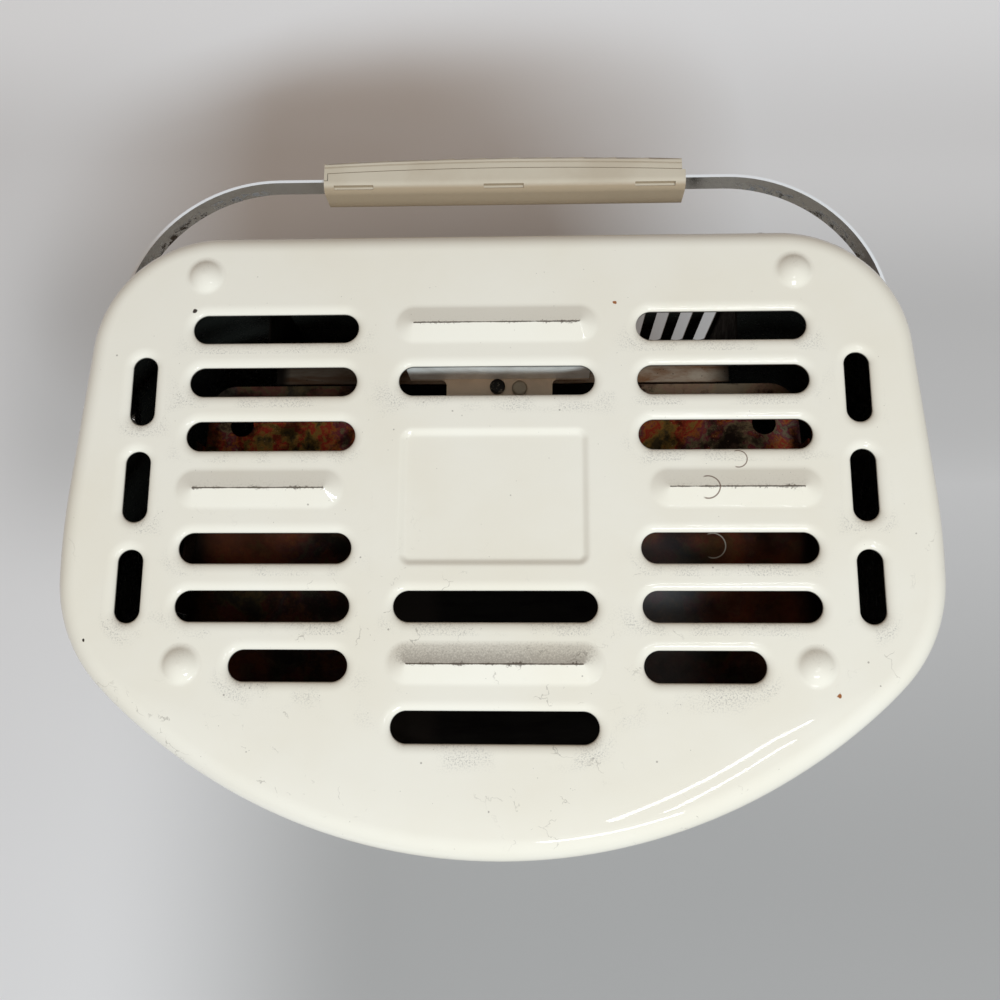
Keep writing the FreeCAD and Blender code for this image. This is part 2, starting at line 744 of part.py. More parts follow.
def base_pan():
    """Pressed pan that the case stands in."""
    outer = prism(outline(0, FOOT_H), BASE_WALL)
    outer = outer.makeFillet(BASE_EDGE_R, flat_edges(outer, FOOT_H))
    inner = prism(outline(SHEET, BASE_FLOOR), BASE_WALL)
    inner = inner.makeFillet(BASE_EDGE_R - SHEET, flat_edges(inner, BASE_FLOOR))
    stems = [rod(at, Vector(0, 0, 1), FOOT_STEM_D / 2 + SCREW_GAP, BASE_TOP) for at in foot_places()]
    return outer.cut(inner).cut(group(stems))


def rubber_feet():
    """Four feet with stems pressed through the pan."""
    half = FOOT_D / 2
    stem = FOOT_STEM_D / 2
    edge = FOOT_H / 4
    profile = [(0, 0), (half - edge, 0), (half, edge), (half, FOOT_H), (stem, FOOT_H)]
    profile += [(stem, BASE_FLOOR + edge), (0, BASE_FLOOR + edge)]
    return group([turned(profile, at) for at in foot_places()])


def rear_screw(at, tail):
    """Pan-head screw driven forwards into the rear of the case."""
    head = rod(at, Vector(0, 1, 0), SCREW_HEAD_R, SCREW_HEAD_H)
    head = head.makeFillet(SCREW_HEAD_H / 2, [e for e in head.Edges if e.BoundBox.YMin > at.y + TINY])
    return head.fuse(rod(at, Vector(0, -1, 0), SCREW_R, tail))


def panel_screws():
    """Screws that hold the side panels to the rear panel."""
    return group([rear_screw(at, SCREW_TAIL) for at in panel_screw_places()])


def plate_screws():
    """Screws that hold the plate's skirt to the panels below it."""
    return group([rear_screw(at, SCREW_TAIL) for at in plate_screw_holes()])


def front_guard():
    """Wire guard: curved wires welded to upright rods."""
    y_end = back(FRONT_SEAM_BACK) - 4 * GUARD_WIRE_R
    start = math.degrees(math.asin((y_end - FRONT_C.y) / (FRONT_CORNER_R - GUARD_INSET)))
    low = CHAMBER_FLOOR_Z + SHEET
    step = (TOP_RAIL_Z - low - 2 * GUARD_MARGIN) / (GUARD_WIRES - 1)
    wires = []
    for count in range(GUARD_WIRES):
        z = low + GUARD_MARGIN + count * step
        wires.append(guard_wire(start, z))
    behind = GUARD_INSET + GUARD_WIRE_R + GUARD_ROD_R / 2
    places = [polar(BOW_C, BOW_R - behind, angle - 90) for angle in GUARD_ROD_ANGLES]
    end = polar(FRONT_C, FRONT_CORNER_R - behind, start)
    places += [end - Vector(0, GUARD_ROD_R, 0), Vector(-end.x, end.y - GUARD_ROD_R, 0)]
    rods = [rod(Vector(at.x, at.y, low), Vector(0, 0, 1), GUARD_ROD_R, TOP_RAIL_Z - low) for at in places]
    return rods[0].multiFuse(rods[1:] + wires)


def guard_wire(start, z):
    """One guard wire, round both front corners and the bow."""
    right = [(FRONT_C, FRONT_CORNER_R - GUARD_INSET, start, -BOW_START)]
    bow = [(BOW_C, BOW_R - GUARD_INSET, -BOW_START, BOW_START - 180)]
    left = [(Vector(-FRONT_C.x, FRONT_C.y, 0), FRONT_CORNER_R - GUARD_INSET, BOW_START - 180, -180 - start)]
    edges = []
    for centre, radius, first, last in right + bow + left:
        at = Vector(centre.x, centre.y, z)
        points = [polar(at, radius, angle) for angle in (first, (first + last) / 2, last)]
        edges.append(Part.Arc(*points).toShape())
    path = Part.Wire(edges)
    begin = edges[0].valueAt(edges[0].FirstParameter)
    way = edges[0].tangentAt(edges[0].FirstParameter)
    section = Part.Wire(Part.makeCircle(GUARD_WIRE_R, begin, way))
    return path.makePipeShell([section], True, False)


# Heat path

def chamber_floor():
    """Level sheet between the burner chamber and the controls."""
    y_front = back(FRONT_SEAM_BACK) - FIT
    y_rear = back(FRONT_SEAM_BACK) + SHEET + FIT
    runs = [
        (PANEL_INSET, -ALL, y_front),
        (PANEL_INSET + SIDE_RETURN + FIT, y_front, y_rear),
        (PANEL_IN + FIT, y_rear, back(CANOPY_REAR_BACK)),
    ]
    sheets = []
    for inset, low, high in runs:
        whole = prism(outline(inset, CHAMBER_FLOOR_Z), SHEET)
        sheets.append(whole.common(block((-ALL, ALL), (low, high), (0, ALL))))
    sheet = fused(sheets[0], sheets[1:])
    cuts = [rod(mixer_place(), Vector(0, 0, 1), MIXER_R + WAY, ALL)]
    for x in (ELECTRODE_X, SENSOR_X):
        cuts.append(rod(Vector(x, electrode_y(), 0), Vector(0, 0, 1), LEAD_R + WAY, ALL))
    return sheet.cut(group(cuts))


def reflector():
    """Polished back and two splayed wings behind the burner."""
    points = [
        (-REFLECTOR_FRONT_X, back(REFLECTOR_FRONT_BACK)),
        (-REFLECTOR_REAR_X, back(REFLECTOR_BACK)),
        (REFLECTOR_REAR_X, back(REFLECTOR_BACK)),
        (REFLECTOR_FRONT_X, back(REFLECTOR_FRONT_BACK)),
    ]
    bottom = CHAMBER_FLOOR_Z + SHEET
    return strip(points, REFLECTOR_BEND, -SHEET, bottom, CANOPY_Z - bottom)


def canopy_edge(inset):
    """Plan of the canopy: wider in front, with round corners."""
    radius = CANOPY_CORNER_R
    corners = [
        (CANOPY_REAR_X - radius, back(CANOPY_REAR_BACK) - radius, 90),
        (CANOPY_FRONT_X - radius, back(CANOPY_FRONT_BACK) + radius, 0),
    ]
    right = [(Vector(x, y, 0), radius - inset, angle, angle - 90) for x, y, angle in corners]
    left = [(Vector(-c.x, c.y, 0), r, -180 - end, -180 - start) for c, r, start, end in reversed(right)]
    return joined(right + left, CANOPY_Z)


def canopy():
    """Ceiling sheet over the burner, folded up at its ends, with a flue opening and two round holes."""
    sheet = prism(canopy_edge(0), SHEET)
    fold = prism(canopy_edge(0), CANOPY_FOLD).cut(prism(canopy_edge(SHEET), CANOPY_FOLD))
    fold_y = (back(CANOPY_FRONT_BACK - 2 * CANOPY_CORNER_R), back(CANOPY_FOLD_BACK))
    folds = [fold.common(block(x, fold_y, (0, ALL))) for x in ((-ALL, 0), (0, ALL))]
    sheet = fused(sheet, folds)
    flue = prism(rounded(0, back(FLUE_BACK), FLUE_W, FLUE_D, CANOPY_CORNER_R, CANOPY_Z), SHEET)
    places = [Vector(side * CANOPY_HOLE_X, back(CANOPY_HOLE_BACK), 0) for side in (-1, 1)]
    holes = [rod(at, Vector(0, 0, 1), CANOPY_HOLE_D / 2, ALL) for at in places]
    return sheet.cut(group([flue] + holes))


def bracket_screw_places():
    """Centres of the two screws on the support's tab."""
    z = SUPPORT_TAB_Z + BRACKET_T
    return [Vector(x, back(SUPPORT_BACK + forward), z) for x, forward in BRACKET_SCREWS]


def screw_clearances():
    """Holes for the two screws through the tab and the riser."""
    hole_r = SCREW_R + SCREW_GAP
    return group([rod(at, Vector(0, 0, -1), hole_r, SCREW_TAIL) for at in bracket_screw_places()])


def canopy_riser():
    """Z-shaped riser that stands on the canopy and carries the plate support."""
    half = SUPPORT_TAB_W / 2
    y_rear, y_front = back(SUPPORT_BACK), back(SUPPORT_BACK + SUPPORT_TAB_LONG)
    low, high = CANOPY_Z + SHEET, SUPPORT_TAB_Z
    top = block((-half, half), (y_front, y_rear), (high - BRACKET_T, high))
    web = block((-half, half), (y_front, y_front + BRACKET_T), (low, high))
    foot = block((-half, half), (y_front - RISER_FOOT, y_front + BRACKET_T), (low, low + BRACKET_T))
    return fused(web, [top, foot]).cut(screw_clearances())


def plate_support():
    """T-shaped support: a tab on the riser, an upright band, and two ears that meet the plate."""
    half = SUPPORT_TAB_W / 2
    y_rear, y_front = back(SUPPORT_BACK), back(SUPPORT_BACK + SUPPORT_TAB_LONG)
    z = SUPPORT_TAB_Z
    tab = block((-half, half), (y_front, y_rear), (z, z + BRACKET_T))
    band_x = (-SUPPORT_BAND_X, SUPPORT_BAND_X)
    band_y = (y_rear, y_rear + BRACKET_T)
    band = block(band_x, band_y, (z, z + SUPPORT_BAND_H))
    ears = []
    for side in (-1, 1):
        x = sorted((side * SUPPORT_BAND_X, side * (SUPPORT_BAND_X - SUPPORT_EAR_W)))
        ears.append(block(x, band_y, (z, PLATE_UNDER)))
    support = fused(band, [tab] + ears)
    roots = [e for e in support.Edges if is_root(e, half, y_rear)]
    return support.makeFillet(SUPPORT_ROOT_R, roots).cut(screw_clearances())


def is_root(edge, half, y):
    """Whether an upright edge is the inner corner between the support's tab and its band."""
    at = edge.CenterOfMass
    upright = edge.BoundBox.ZLength > BRACKET_T - TINY
    return upright and abs(abs(at.x) - half) < TINY and abs(at.y - y) < TINY


def bracket_screws():
    """Two pan-head screws that tie the support to the riser."""
    screws = []
    for at in bracket_screw_places():
        head = rod(at, Vector(0, 0, 1), BRACKET_HEAD_R, SCREW_HEAD_H)
        head = head.makeFillet(SCREW_HEAD_H / 2, flat_edges(head, at.z + SCREW_HEAD_H))
        screws.append(head.fuse(rod(at, Vector(0, 0, -1), SCREW_R, SCREW_TAIL)))
    return group(screws)


def rear_heat_shield():
    """Sheet that keeps the heat off the rear panel, folded back at both ends and forwards at its top."""
    front = back(SHIELD_BACK)
    points = [(-SHIELD_X, REAR_IN), (-SHIELD_X, front), (SHIELD_X, front), (SHIELD_X, REAR_IN)]
    wall = strip(points, SHIELD_BEND, SHEET, SHIELD_BOTTOM, SHIELD_TOP - SHIELD_BOTTOM)
    reach = SHIELD_X - SHIELD_BEND
    y_edge = back(CANOPY_REAR_BACK) + SHIELD_GAP
    flange = block((-reach, reach), (y_edge, front), (SHIELD_TOP - SHEET, SHIELD_TOP))
    return fused(wall, [flange])


# Burner

def burner_y():
    """Rear and front Y of the burner box."""
    return back(BURNER_BACK), back(BURNER_BACK + BURNER_DEPTH)


def mixer_place():
    """Axis of the burner's feed, under the space behind the plaques."""
    return Vector(MIXER_X, burner_y()[0] - FEED_BACK, 0)


def electrode_y():
    """Y of the spark electrode and the flame sensor, just in front of the plaques."""
    return burner_y()[1] - FRAME_T - ELECTRODE_DROP


def burner_box():
    """Open-fronted box with a ledge that the plaques bed on."""
    rear, front = burner_y()
    half = BURNER_W / 2
    z = (BURNER_BOTTOM, BURNER_BOTTOM + BURNER_H)
    box = block((-half, half), (front, rear), z)
    seat = front + PLAQUE_T + GASKET_T
    wide = block((-half + SHEET, half - SHEET), (front, seat), (z[0] + SHEET, z[1] - SHEET))
    narrow = block((-half + LEDGE, half - LEDGE), (front, rear - SHEET), (z[0] + LEDGE, z[1] - LEDGE))
    feed = rod(mixer_place(), Vector(0, 0, 1), MIXER_R - MIXER_WALL, BURNER_BOTTOM + 2 * LEDGE)
    return box.cut(wide).cut(narrow).cut(feed)


def plaque_grid():
    """X and Z ranges of every plaque."""
    width = BURNER_W - 2 * SHEET - 2 * FIT
    height = BURNER_H - 2 * SHEET - 2 * FIT
    w = (width - (PLAQUE_COLUMNS - 1) * PLAQUE_JOINT) / PLAQUE_COLUMNS
    h = (height - (PLAQUE_ROWS - 1) * PLAQUE_JOINT) / PLAQUE_ROWS
    ranges = []
    for column in range(PLAQUE_COLUMNS):
        x = -width / 2 + column * (w + PLAQUE_JOINT)
        for row in range(PLAQUE_ROWS):
            z = BURNER_BOTTOM + SHEET + FIT + row * (h + PLAQUE_JOINT)
            ranges.append(((x, x + w), (z, z + h)))
    return ranges


def ceramic_plaques():
    """Ceramic plaques that glow, side by side in the burner's mouth."""
    front = burner_y()[1]
    return group([block(x, (front, front + PLAQUE_T), z) for x, z in plaque_grid()])


def burner_gasket():
    """Fibre strip between the plaques and the ledge."""
    front = burner_y()[1] + PLAQUE_T
    half = BURNER_W / 2
    z = (BURNER_BOTTOM, BURNER_BOTTOM + BURNER_H)
    y = (front, front + GASKET_T)
    edge = SHEET + FIT
    outer = block((-half + edge, half - edge), y, (z[0] + edge, z[1] - edge))
    return outer.cut(block((-half + LEDGE, half - LEDGE), y, (z[0] + LEDGE, z[1] - LEDGE)))


def plaque_frame():
    """Front frame with a bar over each joint between plaques."""
    front = burner_y()[1]
    half = BURNER_W / 2
    z = (BURNER_BOTTOM, BURNER_BOTTOM + BURNER_H)
    frame = block((-half, half), (front - FRAME_T, front), z)
    windows = []
    for (x0, x1), (z0, z1) in plaque_grid():
        low_x = max(x0 - PLAQUE_JOINT / 2 + FRAME_BAR / 2, -half + FRAME_BORDER)
        high_x = min(x1 + PLAQUE_JOINT / 2 - FRAME_BAR / 2, half - FRAME_BORDER)
        low_z = max(z0 - PLAQUE_JOINT / 2 + FRAME_BAR / 2, z[0] + FRAME_BORDER)
        high_z = min(z1 + PLAQUE_JOINT / 2 - FRAME_BAR / 2, z[1] - FRAME_BORDER)
        windows.append(block((low_x, high_x), (front - 2 * FRAME_T, front), (low_z, high_z)))
    return frame.cut(group(windows))


def burner_bracket():
    """Right-hand leg of the burner, an angle that stands on the chamber floor."""
    rear, front = burner_y()
    x = BURNER_W / 2
    low = CHAMBER_FLOOR_Z + SHEET
    mid = (rear + front) / 2
    y = (mid - BURNER_LEG_W / 2, mid + BURNER_LEG_W / 2)
    leg = block((x, x + BRACKET_T), y, (low, BURNER_BOTTOM + BURNER_LEG_W))
    foot = block((x - RISER_FOOT, x + BRACKET_T), y, (low, low + BRACKET_T))
    return fused(leg, [foot])


def mixing_tube():
    """Venturi that draws in air below the burner."""
    low, top = nozzle_top() - NOZZLE_GAP, BURNER_BOTTOM
    throat = low + (top - low) / 3
    ledge = top - 2 * MIXER_WALL
    outer = [(MIXER_BELL_R, low), (MIXER_THROAT_R + MIXER_WALL, throat), (MIXER_R, ledge)]
    outer += [(MIXER_FLANGE_R, ledge), (MIXER_FLANGE_R, top)]
    inner = [(MIXER_R - MIXER_WALL, top), (MIXER_THROAT_R, throat), (MIXER_BELL_R - MIXER_WALL, low)]
    return turned(outer + inner, mixer_place())


def nozzle_top():
    """Height of the gas jet, inside the venturi's bell."""
    return holder_top() + NOZZLE_LONG


def gas_nozzle():
    """Brass jet, screwed into its holder."""
    top, low = nozzle_top(), holder_top()
    seat = low - HOLDER_H / 4
    profile = [(NOZZLE_BORE_R, seat), (NOZZLE_SHANK_R, seat), (NOZZLE_SHANK_R, low), (NOZZLE_R, low)]
    profile += [(NOZZLE_R, top - NOZZLE_R), (NOZZLE_R / 2, top), (NOZZLE_BORE_R, top)]
    return turned(profile, mixer_place())


def holder_top():
    """Height of the nozzle holder's upper face."""
    return VALVE_Z + HOLDER_H / 2


def nozzle_holder():
    """Block on a post that takes the gas pipe and the jet."""
    top = holder_top()
    at = mixer_place()
    half = HOLDER_W / 2
    x, y = (at.x - half, at.x + half), (at.y - half, at.y + half)
    body = block(x, y, (top - HOLDER_H, top))
    post = block(x, (y[1] - BRACKET_T, y[1]), (BASE_FLOOR, top - HOLDER_H))
    foot = block(x, y, (BASE_FLOOR, BASE_FLOOR + BRACKET_T))
    seat = rod(Vector(at.x, at.y, top - HOLDER_H / 4), Vector(0, 0, 1), NOZZLE_SHANK_R + RUNNING, HOLDER_H)
    riser = rod(Vector(at.x, at.y, VALVE_Z), Vector(0, 0, 1), PIPE_BORE_R, HOLDER_H)
    mouth = rod(Vector(at.x, y[0], VALVE_Z), Vector(0, 1, 0), PIPE_BORE_R, half + PIPE_BORE_R)
    return fused(body, [post, foot]).cut(group([seat, riser])).cut(mouth)


# Valve, knob and gas way

def valve_frame():
    """Placement whose Z runs out through the front panel at the knob."""
    angle = math.radians(VALVE_ANGLE)
    out = Vector(math.sin(angle), -math.cos(angle), 0)
    along = Vector(math.cos(angle), math.sin(angle), 0)
    at = Vector(0, BOW_C.y, VALVE_Z) + out * (BOW_R - PANEL_INSET)
    return FreeCAD.Placement(at, FreeCAD.Rotation(along, Vector(0, 0, 1), out, "ZXY"))


def placed(shape):
    """A piece of the valve, moved from its own axes to its place."""
    copy = shape.copy()
    copy.Placement = valve_frame().multiply(shape.Placement)
    return copy


def valve_point(x, y, z):
    """Place of a point given in the valve's own axes."""
    return valve_frame().multVec(Vector(x, y, z))


def flatted(radius, flat, low, high):
    """Shaft with one flat."""
    shaft = Part.makeCylinder(radius, high - low, Vector(0, 0, low))
    return shaft.cut(block((-radius, radius), (flat, 2 * radius), (low, high)))


def control_knob():
    """Push-and-turn knob: skirt, hollow cap, grip bar and a hub that fits the spindle."""
    lip = KNOB_LIP + KNOB_SKIRT_T
    outer = [(0, KNOB_LIP), (KNOB_R, KNOB_LIP), (KNOB_R, lip), (KNOB_CAP_R, lip + KNOB_WALL)]
    outer += [(KNOB_CAP_R - KNOB_WALL, KNOB_OUT), (0, KNOB_OUT)]
    cap = turned(outer, Vector())
    grip = block((-KNOB_GRIP_W / 2, KNOB_GRIP_W / 2), (-KNOB_CAP_R + KNOB_WALL, KNOB_CAP_R - KNOB_WALL),
                 (KNOB_OUT - KNOB_WALL, KNOB_OUT + KNOB_GRIP_H))
    grip = grip.makeFillet(KNOB_WALL, [e for e in grip.Edges if e.BoundBox.ZMax > KNOB_OUT + KNOB_WALL])
    hollow_r = KNOB_CAP_R - 2 * KNOB_WALL
    hollow = turned([(KNOB_HUB_R, KNOB_LIP), (hollow_r, KNOB_LIP), (hollow_r, KNOB_OUT - 2 * KNOB_WALL),
                     (KNOB_HUB_R, KNOB_OUT - 2 * KNOB_WALL)], Vector())
    bore = flatted(SPINDLE_R + RUNNING, SPINDLE_FLAT + RUNNING, KNOB_LIP - 1, SPINDLE_OUT + KNOB_TRAVEL + 1)
    return placed(fused(cap, [grip]).cut(hollow).cut(bore))


def knob_bezel():
    """Ring on the front panel round the knob, shaped to the panel's curve."""
    inner = KNOB_R + BEZEL_GAP
    profile = [(inner, -RIM_R), (inner + BEZEL_RIM, -RIM_R), (inner + BEZEL_RIM, BEZEL_OUT / 2)]
    profile += [(inner + BEZEL_RIM / 2, BEZEL_OUT), (inner, BEZEL_OUT)]
    bezel = placed(turned(profile, Vector()))
    return bezel.cut(prism(outline(PANEL_INSET, 0), PLATE_TOP))


def valve_spindle():
    """Flatted shaft that turns in the valve and slides in the knob."""
    shaft = flatted(SPINDLE_R, SPINDLE_FLAT, VALVE_NOSE_Z + FIT, SPINDLE_OUT)
    tail = Part.makeCylinder(SPINDLE_R, SPINDLE_IN + VALVE_NOSE_Z + FIT, Vector(0, 0, -SPINDLE_IN))
    collar = Part.makeCylinder(SPINDLE_COLLAR_R, SPINDLE_COLLAR_T, Vector(0, 0, VALVE_NOSE_Z + FIT))
    return placed(fused(shaft, [tail, collar]))


def knob_spring():
    """Coil spring between the spindle's collar and the knob's hub."""
    low = VALVE_NOSE_Z + FIT + SPINDLE_COLLAR_T + SPRING_WIRE_R
    high = KNOB_LIP - SPRING_WIRE_R
    pitch = (high - low) / SPRING_TURNS
    helix = Part.makeHelix(pitch, high - low, SPRING_R)
    section = Part.Wire(Part.makeCircle(SPRING_WIRE_R, Vector(SPRING_R, 0, 0), Vector(0, 1, 0)))
    coil = Part.Wire(helix).makePipeShell([section], True, True)
    coil.translate(Vector(0, 0, low))
    return placed(coil)


def valve_body():
    """Die-cast valve with a nose for the spindle and a boss on each side."""
    half_w, half_h = VALVE_W / 2, VALVE_H / 2
    rear = VALVE_FRONT - VALVE_LONG
    body = block((-half_w, half_w), (-half_h, half_h), (rear, VALVE_FRONT))
    body = body.makeFillet(BASE_EDGE_R, [e for e in body.Edges if e.BoundBox.ZLength > VALVE_LONG / 2])
    nose = Part.makeCylinder(VALVE_NOSE_R, VALVE_NOSE_Z - VALVE_FRONT + 1, Vector(0, 0, VALVE_FRONT - 1))
    start = Vector(-half_w - VALVE_BOSS_LONG, 0, VALVE_BOSS_Z)
    bosses = rod(start, Vector(1, 0, 0), VALVE_BOSS_R, VALVE_W + 2 * VALVE_BOSS_LONG)
    bore = Part.makeCylinder(SPINDLE_R + RUNNING, SPINDLE_IN + 1, Vector(0, 0, -SPINDLE_IN - 1))
    return placed(fused(body, [nose, bosses]).cut(bore))


def magnet_unit():
    """Safety magnet in its hexagonal cap behind the valve."""
    rear = VALVE_FRONT - VALVE_LONG
    cap = Part.makeCylinder(MAGNET_R, MAGNET_LONG, Vector(0, 0, rear - MAGNET_LONG))
    corners = [polar(Vector(0, 0, rear - NUT_T), MAGNET_R * 1.2, 60 * step) for step in range(7)]
    return placed(fused(cap, [prism(Part.makePolygon(corners), NUT_T)]))


def valve_bracket():
    """Upright angle that carries the valve from the base."""
    half = VALVE_W / 2
    low, high = BASE_FLOOR - VALVE_Z, -VALVE_H / 2
    mid = VALVE_FRONT - VALVE_LONG / 2
    web = block((-half, half), (low, high), (mid, mid + BRACKET_T))
    foot = block((-half, half), (low, low + BRACKET_T), (mid, mid + VALVE_FOOT))
    shelf = block((-half, half), (high - BRACKET_T, high), (mid - VALVE_FOOT / 2, mid + VALVE_FOOT / 2))
    return placed(fused(web, [foot, shelf]))


def boss_mouth(side, outward):
    """Point beyond the end of one of the valve's bosses."""
    return valve_point(side * (VALVE_W / 2 + VALVE_BOSS_LONG + outward), 0, VALVE_BOSS_Z)


def gas_pipe():
    """Pipe from the valve to the nozzle holder."""
    start, clear = boss_mouth(-1, 0), boss_mouth(-1, PIPE_BEND)
    reach = (start.x - MIXER_X) / (start.x - clear.x)
    end = mixer_place() + Vector(0, -HOLDER_W / 2, VALVE_Z)
    return tube([start, start + (clear - start) * reach, end], PIPE_BEND, PIPE_R, PIPE_BORE_R)


def nipple_front():
    """Y of the nipple's inner end, behind its nut."""
    return REAR_IN - NIPPLE_THREAD


def inlet_pipe():
    """Pipe from the hose nipple to the valve."""
    end = Vector(NIPPLE_X, nipple_front(), NIPPLE_Z)
    start = boss_mouth(1, 0)
    clear = boss_mouth(1, 2 * PIPE_BEND)
    rise = Vector(clear.x, clear.y, start.z)
    side = Vector(rise.x, (rise.y + end.y) / 2, NIPPLE_Z)
    lead_in = Vector(NIPPLE_X, end.y - 2 * PIPE_BEND, NIPPLE_Z)
    return tube([start, rise, side, lead_in, end], PIPE_BEND, PIPE_R, PIPE_BORE_R)


def hose_nipple():
    """Hose end behind the rear panel: flange, straight and a round bead that grips the hose."""
    out = NIPPLE_FLANGE_T + NIPPLE_STRAIGHT
    inner = -(NIPPLE_THREAD + SHEET)
    profile = [(NIPPLE_BORE_R, inner), (NIPPLE_THREAD_R, inner), (NIPPLE_THREAD_R, 0), (NIPPLE_FLANGE_R, 0)]
    profile += [(NIPPLE_FLANGE_R, NIPPLE_FLANGE_T), (NIPPLE_R, NIPPLE_FLANGE_T), (NIPPLE_R, out)]
    bead = out + NIPPLE_BEAD
    end = bead + NIPPLE_LAND + NIPPLE_TAPER
    profile += [(NIPPLE_BEAD_R, bead), (NIPPLE_BEAD_R, bead + NIPPLE_LAND)]
    profile += [(NIPPLE_TIP_R, end), (NIPPLE_BORE_R, end)]
    nipple = turned(profile, Vector())
    nipple.rotate(Vector(), Vector(1, 0, 0), -90)
    nipple.translate(Vector(NIPPLE_X, REAR_OUT, NIPPLE_Z))
    return nipple


def nipple_nut():
    """Lock nut inside the rear panel."""
    corners = [polar(Vector(), NUT_R, 60 * step) for step in range(7)]
    nut = prism(Part.makePolygon(corners), NUT_T)
    nut = nut.cut(Part.makeCylinder(NIPPLE_THREAD_R + RUNNING, NUT_T))
    nut.rotate(Vector(), Vector(1, 0, 0), 90)
    nut.translate(Vector(NIPPLE_X, REAR_IN, NIPPLE_Z))
    return nut


# Ignition, flame sensing and tilt switch

def electrode_bracket():
    """Strip under the burner that holds the spark electrode and the flame sensor."""
    front = burner_y()[1]
    y = (electrode_y() - 2 * INSULATOR_R, front)
    z = (BURNER_BOTTOM - BRACKET_T, BURNER_BOTTOM)
    seats = []
    for x in (ELECTRODE_X, SENSOR_X):
        seats.append(block((x - 3 * INSULATOR_R, x + 3 * INSULATOR_R), y, z))
    bar_x = (ELECTRODE_X - 3 * INSULATOR_R, SENSOR_X + 3 * INSULATOR_R)
    bar = block(bar_x, (front, front + BRACKET_LAP), z)
    holes = [rod(Vector(x, electrode_y(), 0), Vector(0, 0, 1), r, ALL)
             for x, r in ((ELECTRODE_X, INSULATOR_R + RUNNING), (SENSOR_X, SENSOR_R + RUNNING))]
    return fused(bar, seats).cut(group(holes))


def electrode_insulator():
    """Ceramic sleeve with a shoulder on the bracket."""
    low, high = BURNER_BOTTOM - INSULATOR_LONG / 2, BURNER_BOTTOM + INSULATOR_LONG / 2
    wide = INSULATOR_R * 1.4
    shoulder = BURNER_BOTTOM + 2 * INSULATOR_R
    bore = ELECTRODE_WIRE_R + RUNNING
    profile = [(bore, low), (INSULATOR_R, low), (INSULATOR_R, BURNER_BOTTOM), (wide, BURNER_BOTTOM)]
    profile += [(wide, shoulder), (INSULATOR_R, shoulder), (INSULATOR_R, high), (bore, high)]
    return turned(profile, Vector(ELECTRODE_X, electrode_y(), 0))


def electrode_rod():
    """Spark wire, bent towards the plaques at its tip."""
    x, y = ELECTRODE_X, electrode_y()
    low = BURNER_BOTTOM - INSULATOR_LONG / 2
    high = BURNER_BOTTOM + INSULATOR_LONG / 2 + ELECTRODE_TIP
    points = [Vector(x, y, low), Vector(x, y, high), Vector(x, y + ELECTRODE_TIP, high + ELECTRODE_TIP / 2)]
    return tube(points, 2 * ELECTRODE_WIRE_R, ELECTRODE_WIRE_R)


def thermocouple():
    """Flame sensor standing in front of the plaques."""
    low, high = BURNER_BOTTOM - SENSOR_LONG / 3, BURNER_BOTTOM + SENSOR_LONG
    wide = SENSOR_R * 1.6
    profile = [(0, low), (SENSOR_R, low), (SENSOR_R, BURNER_BOTTOM), (wide, BURNER_BOTTOM)]
    profile += [(wide, BURNER_BOTTOM + wide), (SENSOR_R, BURNER_BOTTOM + 2 * wide)]
    profile += [(SENSOR_R, high - SENSOR_R), (SENSOR_R / 2, high), (0, high)]
    return turned(profile, Vector(SENSOR_X, electrode_y(), 0))


def igniter_place():
    """X, Y and Z ranges of the spark unit."""
    mid = back(IGNITER_BACK)
    x = (IGNITER_X - IGNITER_W / 2, IGNITER_X + IGNITER_W / 2)
    return x, (mid - IGNITER_D / 2, mid + IGNITER_D / 2), (BASE_FLOOR, BASE_FLOOR + IGNITER_H)


def igniter_unit():
    """Spark unit in a moulded box with two screw lugs."""
    x, y, z = igniter_place()
    box = block(x, y, z)
    box = box.makeFillet(LEAD_R, [e for e in box.Edges if e.BoundBox.ZMin > BASE_FLOOR + TINY])
    lugs = [block((x[0] - CASE_FLANGE, x[0] + 1), y, (z[0], z[0] + LID_T)),
            block((x[1] - 1, x[1] + CASE_FLANGE), y, (z[0], z[0] + LID_T))]
    return fused(box, lugs)


def ht_lead():
    """High-voltage lead from the spark unit up to the electrode."""
    x, y, z = igniter_place()
    start = Vector(x[0] + IGNITER_W / 3, sum(y) / 2, z[1])
    foot = BURNER_BOTTOM - INSULATOR_LONG / 2
    end = Vector(ELECTRODE_X, electrode_y(), foot)
    level = (start.z + CHAMBER_FLOOR_Z) / 2
    points = [start, Vector(start.x, start.y, level), Vector(end.x, end.y, level), end]
    return tube(points, LEAD_BEND, LEAD_R)


def thermocouple_lead():
    """Capillary from the flame sensor to the safety magnet."""
    start = Vector(SENSOR_X, electrode_y(), BURNER_BOTTOM - SENSOR_LONG / 3)
    end = valve_point(0, 0, VALVE_FRONT - VALVE_LONG - MAGNET_LONG)
    behind = valve_point(0, 0, VALVE_FRONT - VALVE_LONG - MAGNET_LONG - 2 * LEAD_BEND)
    level = (CHAMBER_FLOOR_Z + VALVE_Z) / 2
    points = [start, Vector(start.x, start.y, level), Vector(behind.x, behind.y, VALVE_Z), end]
    return tube(points, LEAD_BEND / 2, LEAD_R)


def battery_opening():
    """X and Z ranges of the hatch in the rear panel."""
    half_x = CELL_LONG / 2 + CASE_WALL + 2
    half_z = CELL_R + CASE_WALL + FIT
    return (CELL_X - half_x, CELL_X + half_x), (CELL_Z - half_z, CELL_Z + half_z)


def hinge_line():
    """Y and Z of the battery lid's hinge."""
    z_low = battery_opening()[1][0]
    return REAR_OUT + CASE_FLANGE_T + LID_PIN_R + CASE_WALL, z_low - CASE_FLANGE / 2


